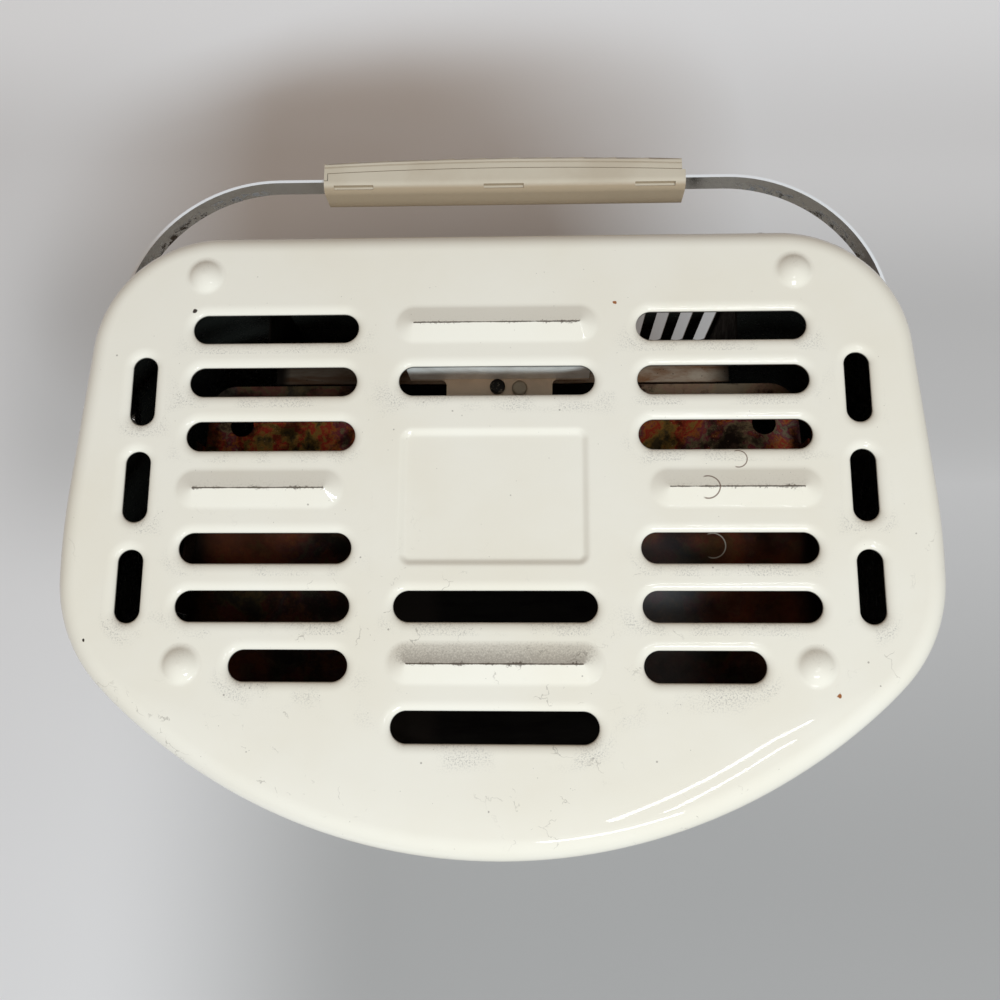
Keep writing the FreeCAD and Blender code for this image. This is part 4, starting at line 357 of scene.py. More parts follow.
def craze_group():
    """Broken hairline scratches that wander over a surface."""
    tree, given, out = new_group("Crazing", {"Scale": 75.0}, ["Mask"])
    drift = add_node(tree, "TexNoise", {"Vector": given["Coords"], "Scale": 210.0, "Detail": 3.0})
    wander = (9 * MM,) * 3
    moved = vector_node(tree, "MULTIPLY_ADD", drift.outputs["Color"], wander, given["Coords"])[0]
    cells = add_node(tree, "TexVoronoi", {"Vector": moved, "Scale": given["Scale"]},
                     feature="DISTANCE_TO_EDGE")
    line = ranged(tree, cells.outputs["Distance"], 0.016, 0.006)
    broken = ranged(tree, noise(tree, given["Coords"], 120.0, 3.0), 0.54, 0.6)
    fill_inputs(tree, out, {"Mask": product(tree, line, broken)})
    return tree


GROUP_MAKERS = {"Specks": speck_group, "Scuffs": scuff_group, "Spot": spot_group, "Hair": hair_group,
                "Crazing": craze_group}


def grouped(tree, name, coords, **values):
    """A shared effect placed in a material; an underscore in a value's name stands for a space."""
    made = add_node(tree, "Group", node_tree=bpy.data.node_groups.get(name) or GROUP_MAKERS[name]())
    named = {key.replace("_", " "): value for key, value in values.items()}
    return fill_inputs(tree, made, {"Coords": coords, **named}).outputs


def new_material(name, **sockets):
    """Material with a Principled shader; returns the material, its tree, shader and object coordinates."""
    material = bpy.data.materials.new(name)
    material.use_nodes = True
    tree = material.node_tree
    shader = tree.nodes["Principled BSDF"]
    for key, value in sockets.items():
        shader.inputs[key.replace("_", " ")].default_value = value
    coords = add_node(tree, "TexCoord").outputs["Object"]
    return material, tree, shader, coords


def surface(tree, shader, colour, rough):
    """Give a finish its colour and roughness."""
    fill_inputs(tree, shader, {"Base Color": colour, "Roughness": rough})


def bump(tree, shader, height, distance):
    """Fine relief from a height value."""
    relief = add_node(tree, "Bump", {"Height": height, "Distance": distance, "Strength": 1.0})
    tree.links.new(relief.outputs[0], shader.inputs["Normal"])


def faded(colour, *shares):
    """Colour with its red, green and blue cut to a share each."""
    return tuple(part * share for part, share in zip(colour, shares)) + (1.0,)


def enamel_base(tree, coords, colour):
    """Cream enamel with a slight stain, and its scuff value."""
    scuffs = grouped(tree, "Scuffs", coords)
    return mixed(tree, scuffs["Stain"], colour, faded(colour, 0.965, 0.95, 0.92)), scuffs["Scuff"]


def inner_side(tree, coords):
    """Mask of the faces that look towards the heater's middle, up or down."""
    faces = normals(tree)
    flat = vector_node(tree, "MULTIPLY", coords, (1.0, 1.0, 0.0))[0]
    lean = vector_node(tree, "DOT_PRODUCT", faces, flat)["Value"]
    level = ranged(tree, math_node(tree, "ABSOLUTE", axes(tree, faces)[2]), 0.4, 0.7)
    return largest(tree, ranged(tree, lean, 4 * MM, -4 * MM), level)


def case_enamel_and_shade(colours):
    """Glossy enamel of the panels, with few specks; their inner sides and flat flanges are near-black, a dark
    ground coat that also stands for painted shade.
    """
    material, tree, shader, coords = new_material("case_enamel_and_shade", Coat_Weight=0.4, Coat_Roughness=0.06)
    base, scuff = enamel_base(tree, coords, tuple(colours.enamel))
    specks = grouped(tree, "Specks", coords, Scale=700.0, Amount=0.03)
    colour = mixed(tree, specks["Mask"], base, (0.05, 0.04, 0.03, 1.0))
    # Painted shade: faces towards the middle and the flat flanges are made near-black
    colour = mixed(tree, inner_side(tree, coords), colour, GROUND_COAT_AND_SHADE)
    surface(tree, shader, colour, ranged(tree, scuff, 0.0, 1.0, 0.2, 0.3))
    bump(tree, shader, noise(tree, coords, 160.0, 2.0), 0.08 * MM)
    return material


def soiled_and_shaded_enamel(tree, coords, base, grime, darkening):
    """Enamel under dust and specks in front of the slots, soil and painted shade on the forms' rear sides,
    and scratches near the bow.
    """
    grain = noise(tree, coords, 1500.0, 3.0, 0.7)
    patch = ranged(tree, noise(tree, coords, 42.0, 3.0), 0.42, 0.58)
    near = ranged(tree, grime, 0.5, 0.95)
    dusty = product(tree, near, patch)
    dust = product(tree, dusty, ranged(tree, grain, 0.46, 0.64), 0.5)
    colour = mixed(tree, dust, base, DUST)
    soil = math_node(tree, "ADD", product(tree, darkening, 0.9), centred(tree, grain))
    soiled = product(tree, ranged(tree, soil, 0.25, 0.75), ranged(tree, darkening, 0.0, 0.3), 0.5)
    # Painted shade: a smooth tan darkening on the rear sides of the ribs and dimples, under the soil grain
    colour = mixed(tree, product(tree, darkening, 0.35), colour, TAN_STAIN_AND_SHADE)
    colour = mixed(tree, soiled, colour, SOIL)
    many, few = ranged(tree, dusty, 0.0, 1.0, 0.012, 0.45), ranged(tree, near, 0.0, 1.0, 0.008, 0.06)
    fine = grouped(tree, "Specks", coords, Scale=1250.0, Amount=many)
    coarse = grouped(tree, "Specks", coords, Scale=520.0, Amount=few)
    lines = grouped(tree, "Crazing", coords)
    ahead = ranged(tree, axes(tree, coords)[1], 0.0, -60 * MM)
    places = ranged(tree, noise(tree, coords, 22.0, 2.0), 0.46, 0.62)
    scratches = product(tree, lines["Mask"], ahead, places, 0.7)
    specks = largest(tree, fine["Mask"], coarse["Mask"], scratches)
    return mixed(tree, product(tree, specks, 0.55), colour, SPECK)


def worn_crest(tree, coords, crest):
    """Mask of the broken line along a rib's crest where the enamel is worn off."""
    ragged = centred(tree, noise(tree, coords, 1300.0, 3.0, 0.6))
    broken = math_node(tree, "SUBTRACT", noise(tree, coords, 120.0, 4.0, 0.6), 0.47)
    uneven = math_node(tree, "ADD", product(tree, ragged, 0.45), product(tree, broken, 0.6))
    depth = math_node(tree, "ADD", crest, uneven)
    return product(tree, ranged(tree, depth, 0.64, 0.78), ranged(tree, crest, 0.4, 0.6), 0.9)


def plate_enamel_and_shade(colours):
    """Enamel of the top: worn along the ribs, speckled in front of the slots, with a few single marks,
    painted shade on the forms' rear sides and black slot lips, a dark ground coat with painted shade.
    """
    material, tree, shader, coords = new_material("plate_enamel_and_shade", Coat_Weight=0.75, Coat_Roughness=0.03,
                                                  Specular_IOR_Level=0.1)
    base, scuff = enamel_base(tree, coords, tuple(colours.enamel))
    crest, grime, lip, darkening = (attribute(tree, name) for name in WEAR_AND_SHADE)
    colour = soiled_and_shaded_enamel(tree, coords, base, grime, darkening)
    colour = mixed(tree, worn_crest(tree, coords, crest), colour, WORN)
    for place, radius, width in PLATE_HAIRS:
        hair = grouped(tree, "Hair", coords, Place=place, Radius=radius, Width=width)
        colour = mixed(tree, product(tree, hair["Mask"], 0.8), colour, HAIR)
    for place, radius, tint in PLATE_MARKS:
        spot = grouped(tree, "Spot", coords, Place=place, Radius=radius)
        colour = mixed(tree, spot["Mask"], colour, tint)
    # Painted shade: the slots' lips are made black, with a dark ground coat
    colour = mixed(tree, lip, colour, SOOT_AND_SHADE)
    surface(tree, shader, colour, ranged(tree, scuff, 0.0, 1.0, 0.3, 0.45))
    bump(tree, shader, noise(tree, coords, 130.0, 2.0), 0.05 * MM)
    return material


def heat_tint_and_painted_light():
    """Steel coloured by heat in drifting patches, sooty in front and behind, with a painted grey sheen in
    front and painted shade that makes its ends and its middle black.
    """
    material, tree, shader, coords = new_material("heat_tint_and_painted_light", Metallic=0.25, Specular_IOR_Level=0.05)
    across, along, _ = axes(tree, coords)
    side = math_node(tree, "ABSOLUTE", across)
    drift = ranged(tree, noise(tree, coords, 46.0, 5.0, 0.62, 0.3), 0.3, 0.7)
    flakes = noise(tree, coords, 420.0, 7.0, 0.75)
    place = math_node(tree, "ADD", drift, product(tree, centred(tree, flakes), 0.5))
    colour = ramp(tree, place, HEAT_TINTS)
    burn = ranged(tree, noise(tree, coords, 85.0, 6.0, 0.7), 0.44, 0.62)
    colour = mixed(tree, product(tree, burn, 0.8), colour, SOOT_AND_SHADE)
    glints = grouped(tree, "Specks", coords, Scale=900.0, Amount=0.4)
    colour = mixed(tree, product(tree, glints["Mask"], 0.6), colour, GLINT)
    haze = ranged(tree, noise(tree, coords, 28.0, 4.0, 0.5), 0.42, 0.68)
    smoke = mixed(tree, haze, SOOT_AND_SHADE, EMBER)
    # Painted sheen: a grey patch right of the middle, towards the front
    grey = product(tree, ranged(tree, across, 50 * MM, 56 * MM), ranged(tree, across, 95 * MM, 68 * MM),
                   ranged(tree, along, -12 * MM, -45 * MM), 0.9)
    smoke = mixed(tree, grey, smoke, PAINTED_SHEEN)
    colour = mixed(tree, ranged(tree, along, 10 * MM, -12 * MM, 0.0, 0.95), colour, smoke)
    behind = ranged(tree, along, 37 * MM, 41 * MM, 0.0, 0.92)
    ends = ranged(tree, side, 122 * MM, 134 * MM, 0.0, 0.93)
    middle = ranged(tree, side, 56 * MM, 42 * MM)
    right = ranged(tree, across, -20 * MM, 20 * MM)
    rusty = mixed(tree, right, (0.03, 0.022, 0.016, 1), (0.16, 0.115, 0.075, 1))
    colour = mixed(tree, behind, colour, mixed(tree, burn, rusty, SOOT_AND_SHADE))
    # Painted shade: the ends and the middle are made black
    colour = mixed(tree, largest(tree, ends, middle), colour, SOOT_AND_SHADE)
    place, radius, width = CANOPY_HAIR
    hair = grouped(tree, "Hair", coords, Place=place, Radius=radius, Width=width)
    colour = mixed(tree, hair["Mask"], colour, (0.30, 0.26, 0.21, 1))
    surface(tree, shader, colour, ranged(tree, flakes, 0.3, 0.7, 0.4, 0.75))
    bump(tree, shader, flakes, 0.3 * MM)
    return material


def galvanised():
    """Zinc-coated sheet with its spangle and dull stains."""
    material, tree, shader, coords = new_material("galvanised", Metallic=0.85)
    spangle = add_node(tree, "TexVoronoi", {"Vector": coords, "Scale": 110.0}).outputs["Color"]
    tone = add_node(tree, "SeparateColor", {0: spangle}).outputs[0]
    scuffs = grouped(tree, "Scuffs", coords, Stain_size=45.0)
    zinc = mixed(tree, tone, (0.40, 0.39, 0.36, 1), (0.58, 0.57, 0.54, 1))
    stained = mixed(tree, product(tree, scuffs["Stain"], 0.6), zinc, (0.30, 0.24, 0.17, 1))
    surface(tree, shader, stained, ranged(tree, scuffs["Scuff"], 0.0, 1.0, 0.32, 0.55))
    return material


def smoked_and_shaded_sheet(name, pale, brown, metal):
    """Sheet dulled by smoke and streaked along its length, with painted shade that blackens its left and its
    right end.
    """
    material, tree, shader, coords = new_material(name, Metallic=metal, Specular_IOR_Level=0.02)
    drawn = vector_node(tree, "MULTIPLY", coords, (0.22, 1.0, 1.0))[0]
    streak = ranged(tree, noise(tree, drawn, 150.0, 6.0, 0.65, 0.4), 0.35, 0.68)
    colour = mixed(tree, streak, pale, brown)
    specks = grouped(tree, "Specks", coords, Scale=700.0, Amount=0.4)
    colour = mixed(tree, product(tree, specks["Mask"], 0.7), colour, SOOT_AND_SHADE)
    across = axes(tree, coords)[0]
    # Painted shade: black at the right end and over the left
    black = largest(tree, ranged(tree, across, 88 * MM, 104 * MM),
                    ranged(tree, across, -45 * MM, -60 * MM, 0.0, 0.8),
                    ranged(tree, across, -85 * MM, -100 * MM))
    colour = mixed(tree, black, colour, SOOT_AND_SHADE)
    surface(tree, shader, colour, ranged(tree, streak, 0.0, 1.0, 0.38, 0.6))
    return material


def support_zinc():
    """Zinc of the plate support: grey on its upright band, tanned by heat on its tab."""
    material, tree, shader, coords = new_material("support_zinc", Metallic=0.05)
    scuffs = grouped(tree, "Scuffs", coords, Stain_size=90.0)
    upright = ranged(tree, axes(tree, coords)[2], SUPPORT_LOW.z + 1.3 * MM, SUPPORT_LOW.z + 1.9 * MM)
    colour = mixed(tree, upright, (0.70, 0.57, 0.43, 1), (0.86, 0.84, 0.78, 1))
    colour = mixed(tree, product(tree, scuffs["Stain"], 0.4), colour, TAN_STAIN_AND_SHADE)
    surface(tree, shader, colour, ranged(tree, scuffs["Scuff"], 0.0, 1.0, 0.4, 0.6))
    return material


def smoked_screws():
    """Two screws of the support: one black with burnt dirt, one cleaner."""
    material, tree, shader, coords = new_material("smoked_screws", Metallic=0.5)
    darkening = noise(tree, coords, 420.0, 5.0, 0.7)
    left = ranged(tree, axes(tree, coords)[0], 5.0 * MM, 3.0 * MM)
    burnt = product(tree, left, ranged(tree, darkening, 0.72, 0.55))
    colour = mixed(tree, burnt, (0.34, 0.29, 0.22, 1), SOOT_AND_SHADE)
    surface(tree, shader, colour, ranged(tree, darkening, 0.3, 0.7, 0.3, 0.6))
    return material


def bright_metal(name, colour, rough, stain):
    """Plated or polished metal with faint scuffs and some stain."""
    material, tree, shader, coords = new_material(name, Metallic=1.0)
    scuffs = grouped(tree, "Scuffs", coords, Stain_size=60.0, Scuff_size=500.0)
    stained = mixed(tree, product(tree, scuffs["Stain"], stain), colour, faded(colour, 0.62, 0.62, 0.62))
    surface(tree, shader, stained, ranged(tree, scuffs["Scuff"], 0.0, 1.0, rough, rough + 0.16))
    return material


def guard_chrome():
    """Plated wire, bright outside and blackened by smoke on the side towards the flame."""
    material, tree, shader, coords = new_material("guard_chrome", Specular_IOR_Level=0.1)
    scuffs = grouped(tree, "Scuffs", coords, Stain_size=60.0, Scuff_size=500.0)
    inner = inner_side(tree, coords)
    colour = mixed(tree, scuffs["Stain"], (0.62, 0.60, 0.57, 1), (0.46, 0.42, 0.36, 1))
    rough = math_node(tree, "ADD", ranged(tree, scuffs["Scuff"], 0.0, 1.0, 0.16, 0.3), inner, True)
    surface(tree, shader, mixed(tree, inner, colour, SOOT_AND_SHADE), rough)
    fill_inputs(tree, shader, {"Metallic": ranged(tree, inner, 0.0, 1.0, 1.0, 0.0)})
    return material


def strap_chrome():
    """Bright plated strap with dark scale along the lower edge of its bends and a painted highlight on its
    upward faces.
    """
    material, tree, shader, coords = new_material("strap_chrome")
    scuffs = grouped(tree, "Scuffs", coords, Stain_size=70.0, Scuff_size=600.0)
    across, _, height = axes(tree, coords)
    ends = ranged(tree, math_node(tree, "ABSOLUTE", across), 100 * MM, 130 * MM)
    low = ranged(tree, height, STRAP_LOW.z + 7.0 * MM, STRAP_LOW.z + 3.0 * MM)
    flakes = ranged(tree, noise(tree, coords, 260.0, 6.0, 0.7), 0.50, 0.58)
    scale = product(tree, ends, low, flakes)
    # Painted highlight: faces turned upwards get a paler, less metallic plating
    edge = ranged(tree, axes(tree, normals(tree))[2], 0.4, 0.7)
    plated = mixed(tree, edge, (0.54, 0.57, 0.60, 1), (0.84, 0.86, 0.88, 1))
    rough = math_node(tree, "ADD", ranged(tree, scuffs["Scuff"], 0.0, 1.0, 0.14, 0.28), scale, True)
    surface(tree, shader, mixed(tree, scale, plated, (0.08, 0.065, 0.05, 1)), rough)
    fill_inputs(tree, shader, {"Metallic": ranged(tree, largest(tree, scale, edge), 0.0, 1.0, 1.0, 0.2)})
    return material


def moulded(name, colour, rough, coat=0.0):
    """Moulded plastic, rubber or satin enamel with a fine grain."""
    material, tree, shader, coords = new_material(name, Coat_Weight=coat)
    scuffs = grouped(tree, "Scuffs", coords, Stain_size=30.0, Scuff_size=380.0)
    stained = mixed(tree, scuffs["Stain"], colour, faded(colour, 0.9, 0.9, 0.9))
    surface(tree, shader, stained, ranged(tree, scuffs["Scuff"], 0.0, 1.0, rough, rough + 0.12))
    bump(tree, shader, noise(tree, coords, 900.0, 2.0), 0.03 * MM)
    return material


def grip_plastic(colours):
    """Smooth beige moulding, with painted shade that browns its front faces."""
    material, tree, shader, coords = new_material("grip_plastic", Specular_IOR_Level=0.35)
    scuffs = grouped(tree, "Scuffs", coords, Stain_size=30.0, Scuff_size=380.0)
    # Painted shade: faces that look forwards are made browner
    painted_front_shade = ranged(tree, axes(tree, normals(tree))[1], -0.3, -0.75)
    beige, brown = tuple(colours.grip), tuple(colours.grip_front)
    fresh = mixed(tree, product(tree, scuffs["Stain"], 0.3), beige, brown)
    rough = ranged(tree, scuffs["Scuff"], 0.0, 1.0, 0.34, 0.46)
    surface(tree, shader, mixed(tree, painted_front_shade, fresh, brown), rough)
    bump(tree, shader, noise(tree, coords, 900.0, 2.0), 0.03 * MM)
    return material


def plaque_ceramic():
    """Unglazed ceramic with rows of fine flame holes."""
    material, tree, shader, coords = new_material("plaque_ceramic")
    holes_per_metre = 420.0
    parts = axes(tree, vector_node(tree, "MULTIPLY", coords, (holes_per_metre,) * 3)[0])
    gaps = []
    for part in (parts[0], parts[2]):
        cell = centred(tree, math_node(tree, "FRACT", part))
        gaps.append(product(tree, cell, cell))
    hole = ranged(tree, math_node(tree, "ADD", *gaps), 0.10, 0.06)
    scuffs = grouped(tree, "Scuffs", coords, Stain_size=25.0)
    body = mixed(tree, scuffs["Stain"], (0.74, 0.69, 0.60, 1), (0.60, 0.52, 0.42, 1))
    surface(tree, shader, mixed(tree, hole, body, (0.10, 0.08, 0.06, 1)), 0.85)
    bump(tree, shader, math_node(tree, "SUBTRACT", 1.0, hole), 0.4 * MM)
    return material


# Mesh building

def finish_piece(bm, name, body, material, replaced):
    """Object of a bmesh, riding on its body in place of its CAD nodes."""
    mesh = bpy.data.meshes.new(name)
    bm.to_mesh(mesh)
    bm.free()
    piece = bpy.data.objects.new(name, mesh)
    bpy.context.scene.collection.objects.link(piece)
    mesh.materials.append(material)
    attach(piece, body)
    if replaced:
        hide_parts(*replaced)
    return piece


def stadium(cx, cy, half_x, half_y, radius):
    """Place of a point at an angle round a slot or a rounded rectangle, for any offset from its edge."""
    def place(angle, offset):
        reach = radius + offset
        x = cx + math.copysign(half_x, math.cos(angle)) + reach * math.cos(angle)
        y = cy + math.copysign(half_y, math.sin(angle)) + reach * math.sin(angle)
        return x, y
    return place


def bow_share(angle):
    """How far a point at an angle round the plate belongs to its front bow, from 0 to 1."""
    start_sine, blend = 0.74, 0.12
    return min(1.0, max(0.0, (-math.sin(angle) - start_sine) / blend))


def plate_outline():
    """Place of a point round the plate's outline of rear corners, shoulders, front corners and bow."""
    half = (PLATE_HIGH.x - PLATE_LOW.x) / 2
    rear_r, shoulder_r, front_r = 52 * MM, 300 * MM, 62 * MM
    flare, shoulder_end, bow_start = math.radians(4.5), math.radians(-2.5), math.radians(-45)
    squeeze = 0.96
    shoulder = Vector((half - shoulder_r, 0))
    front = shoulder + (shoulder_r - front_r) * Vector((math.cos(shoulder_end), math.sin(shoulder_end)))
    to_axis = front.x / math.cos(bow_start)
    bow_r = front_r + to_axis
    bow = front - to_axis * Vector((math.cos(bow_start), math.sin(bow_start)))
    drop = Vector((0, PLATE_LOW.y - (bow.y - bow_r)))
    normal = Vector((math.cos(flare), math.sin(flare)))
    rear_y = PLATE_HIGH.y - rear_r
    reach = normal.dot(shoulder + drop) + shoulder_r - rear_r
    rear = Vector(((reach - normal.y * rear_y) / normal.x, rear_y))
    arcs = ((flare, rear, rear_r), (shoulder_end, shoulder + drop, shoulder_r),
            (bow_start, front + drop, front_r))

    def place(angle, offset):
        # Away from the bow the rings of the soft shoulder are drawn together at the rim
        inside = min(0.0, offset + RIM_INSIDE)
        offset += inside * (bow_share(angle) - 1) * squeeze
        direction = Vector((abs(math.cos(angle)), math.sin(angle)))
        lean = math.asin(direction.y)
        centre, radius = next(((c, r) for start, c, r in arcs if lean > start), (bow + drop, bow_r))
        point = centre + (radius + offset) * direction
        if lean < bow_start:
            return (bow + drop).x + (bow_r + offset) * math.cos(angle), point.y
        return math.copysign(point.x, math.cos(angle)), point.y
    return place


def pressed_rings(bm, segments, place, profile):
    """Rings along a profile of (offset, height, wear); returns the first and the last ring's edges."""
    layers = bm.verts.layers.float
    angle = layers["angle"]
    verts = bmesh.ops.create_circle(bm, segments=segments, radius=1.0)["verts"]
    edges = list({edge for vert in verts for edge in vert.link_edges})
    first = edges
    for vert in verts:
        vert[angle] = math.atan2(vert.co.y, vert.co.x) + math.pi / segments
    for index, (offset, height, ring_values) in enumerate(profile):
        if index:
            grown = bmesh.ops.extrude_edge_only(bm, edges=edges)["geom"]
            verts = [item for item in grown if isinstance(item, bmesh.types.BMVert)]
            edges = [item for item in grown if isinstance(item, bmesh.types.BMEdge) and item.is_boundary]
        for vert in verts:
            fall = ring_values.get("fall", 0.0) * bow_share(vert[angle])
            vert.co = (*place(vert[angle], offset), height - fall)
            for name in WEAR_AND_SHADE:
                vert[layers[name]] = ring_values.get(name, 0.0)
            # Grime gathers in front of a form; darkening, soil with painted shade, on its rear side
            vert[layers["grime"]] *= 0.6 - 0.4 * math.sin(vert[angle])
            vert[layers["darkening"]] *= 0.5 + 0.5 * math.sin(vert[angle])
    return first, edges


def slot_profile(plate, top):
    """From the slot's turned-down lip, over its rolled mouth, to the flat."""
    reach, drop, lip_depth, margin, steps = plate.mouth, plate.mouth_drop, 2.6 * MM, 0.5 * MM, 10
    # The lip value makes the lip's wall and the start of the mouth black: painted shade inside the slot with
    # a dark ground coat
    profile = [(0.0, top - lip_depth, {"lip": 1.0})]
    for step in range(steps + 1):
        turn = math.radians(step * 90 / steps)
        ring_values = {"lip": max(0.0, 1.0 - step / 2), "grime": 0.8}
        profile.append((reach * (1 - math.cos(turn)), top - drop * (1 - math.sin(turn)), ring_values))
    return profile + [(reach + margin, top, {"grime": 1.0})]


def foot_points(reach, top, foot, slope, first):
    """Points down the hollow foot of a rib or a dimple, from its slope to the flat."""
    steps = 5
    points = []
    for step in range(first, steps + 1):
        lean = slope * (1 - step / steps)
        points.append((reach - foot * math.sin(lean), top + foot * (1 - math.cos(lean))))
    return points


def rib_profile(plate, top, darkening):
    """From a rib's narrow crest, down its straight flank and hollow foot, to the flat."""
    crest_r, foot, slope = 1.0 * MM, 3 * plate.foot, plate.rib_slope
    worn_width, margin, steps = 0.9 * MM, 0.6 * MM, 5
    flank = (plate.rib_rise - (crest_r + foot) * (1 - math.cos(slope))) / math.sin(slope)
    reach = (crest_r + foot) * math.sin(slope) + flank * math.cos(slope)
    points = []
    for step in range(steps + 1):
        lean = slope * max(step / steps, 0.1)
        points.append((crest_r * math.sin(lean), top + plate.rib_rise - crest_r * (1 - math.cos(lean))))
    profile = []
    for offset, height in points + foot_points(reach, top, foot, slope, 0):
        # Darkening holds soil grain and painted shade; it is strongest at the crest and kept to the rear
        # flank
        ring_values = {"crest": max(0.0, 1.0 - offset / worn_width), "grime": 0.4,
                "darkening": darkening * (1.0 - 0.6 * offset / reach)}
        profile.append((offset, height, ring_values))
    return profile + [(reach + margin, top, {"grime": 0.5})]


def dimple_profile(plate, top):
    """From a dimple's top, down its round back and hollow foot, to the flat."""
    rise, foot, pole, margin, steps = plate.dimple_rise, 2 * plate.foot, 0.1 * MM, 0.6 * MM, 11
    radius = (plate.dimple ** 2 + rise ** 2) / (2 * rise)
    reach = math.sqrt((radius + foot) ** 2 - (radius + foot - rise) ** 2)
    turn = math.asin(reach / (radius + foot))
    points = []
    for step in range(steps + 1):
        lean = max(turn * step / steps, pole / radius)
        points.append((radius * math.sin(lean), top + rise - radius * (1 - math.cos(lean))))
    points += foot_points(reach, top, foot, turn, 1)
    # Darkening gives the dimple's rear side its painted shade and some soil grain
    profile = [(offset, height, {"grime": 0.3, "darkening": 0.3}) for offset, height in points]
    return profile + [(reach + margin, top, {"grime": 0.4})]


def recess_profile(top):
    """From the recess's floor, up its sloped wall, to the flat."""
    depth, slope, inside, margin, steps = 1.4 * MM, 3.6 * MM, 1.0 * MM, 0.9 * MM, 8
    profile = [(-slope - inside, top - depth, {})]
    for step in range(steps + 1):
        rise = (1 - math.cos(math.pi * step / steps)) / 2
        profile.append((slope * (step / steps - 1), top - depth * (1 - rise), {"grime": 0.1}))
    return profile + [(margin, top, {"grime": 0.35})]


def rim_profile(plate, top):
    """From the flat, over the bow's soft shoulder and the rounded rim, to the foot of the skirt."""
    radius, straight, shoulder_steps, rim_steps = plate.rim, 4 * MM, 6, 12
    points = []
    for step in range(shoulder_steps + 1):
        points.append((-plate.shoulder + step * (plate.shoulder - RIM_INSIDE) / shoulder_steps, top))
    for step in range(rim_steps + 1):
        turn = math.radians(step * 90 / rim_steps)
        points.append((radius * (math.sin(turn) - 1), top + radius * (math.cos(turn) - 1)))
    profile = []
    for offset, height in points:
        profile.append((offset, height, {"fall": plate.shoulder_fall * (1 + offset / plate.shoulder) ** 2}))
    return profile + [(0.0, top - radius - straight, {}), (0.0, PLATE_LOW.z, {})]


def plate_rows(plate):
    """Y of each row of slots and ribs, from the rear edge forwards; row 0 holds the rear dimples."""
    return [PLATE_HIGH.y - plate.first_row - (row - 1) * plate.row_pitch for row in range(9)]


def slot_places(rows):
    """Every slot of the plate: long and short side slots, centre slots and the upright slots at the edges."""
    radius, inner_end, long, short = 6 * MM, 56 * MM, 67.5 * MM, 45.5 * MM
    edge_x, edge_first, edge_pitch, edge_half, edge_r = 142.2 * MM, 68.2, 39.4, 9.3 * MM, 4.9 * MM
    places = []
    for row in (1, 2, 3, 5, 6, 7):
        length = short if row == 7 else long
        for side in (-1, 1):
            places.append(stadium(side * (inner_end + length / 2), rows[row], length / 2 - radius, 0, radius))
    for row in (2, 6, 8):
        places.append(stadium(0, rows[row], CENTRE_HALF, 0, radius))
    for step in range(3):
        y = PLATE_HIGH.y - (edge_first + edge_pitch * step) * MM
        for side in (-1, 1):
            places.append(stadium(side * edge_x, y, 0, edge_half, edge_r))
    return places


def raised_forms(plate, top, rows):
    """Place and profile of each rib and dimple, and of the recess."""
    rib_x, rib_half, rib_back = 92.8 * MM, 25.5 * MM, 0.7 * MM
    # The last value of each rib is its darkening: soil grain and painted shade on its rear flank
    ribs = [(0.0, rows[1], CENTRE_HALF, 0.3), (0.0, rows[7], CENTRE_HALF, 0.8)]
    ribs += [(side * rib_x, rows[4], rib_half, 0.35) for side in (-1, 1)]
    forms = []
    for x, y, half, darkening in ribs:
        forms.append((stadium(x, y + rib_back, half, 0, 0), rib_profile(plate, top, darkening)))
    for row in (0, 7):
        for side in (-1, 1):
            forms.append((stadium(side * DIMPLE_X, rows[row], 0, 0, 0), dimple_profile(plate, top)))
    recess_x, recess_y, recess_r = -0.7 * MM, PLATE_HIGH.y - 112 * MM, 5.2 * MM
    recess_half = (32.3 * MM, 22.5 * MM)
    recess = stadium(recess_x, recess_y, *recess_half, recess_r)
    return forms + [(recess, recess_profile(top))]


class HEATER_OT_top_plate(bpy.types.Operator):
    """Press the slotted top plate and give it its worn enamel"""

    bl_idname = "heater.top_plate"
    bl_label = "Top plate"

    def execute(self, context):
        plate = context.scene.heater_plate
        top = PLATE_HIGH.z - plate.dimple_rise
        rows = plate_rows(plate)
        bm = bmesh.new()
        for name in ("angle",) + WEAR_AND_SHADE:
            bm.verts.layers.float.new(name)
        border, _ = pressed_rings(bm, RIM_SEGMENTS, plate_outline(), rim_profile(plate, top))
        field = list(border)
        for place in slot_places(rows):
            field += pressed_rings(bm, FORM_SEGMENTS, place, slot_profile(plate, top))[1]
        for place, profile in raised_forms(plate, top, rows):
            inner, outer = pressed_rings(bm, FORM_SEGMENTS, place, profile)
            bmesh.ops.contextual_create(bm, geom=inner)
            field += outer
        bmesh.ops.triangle_fill(bm, use_beauty=True, use_dissolve=False, edges=field)
        bmesh.ops.recalc_face_normals(bm, faces=bm.faces)
        if sum(face.normal.z * face.calc_area() for face in bm.faces) < 0:
            bmesh.ops.reverse_faces(bm, faces=bm.faces)
        for face in bm.faces:
            face.smooth = True
        piece = finish_piece(bm, "pressed_top", "case", plate_enamel_and_shade(context.scene.heater_colours),
                             ["top_plate"])
        wall = piece.modifiers.new("sheet", "SOLIDIFY")
        wall.thickness = plate.sheet
        wall.offset = -1.0
        return {"FINISHED"}


def paint(material, *names):
    """The same finish on several CAD nodes."""
    for name in names:
        slots = NODES[name].data.materials
        slots.clear()
        slots.append(material)


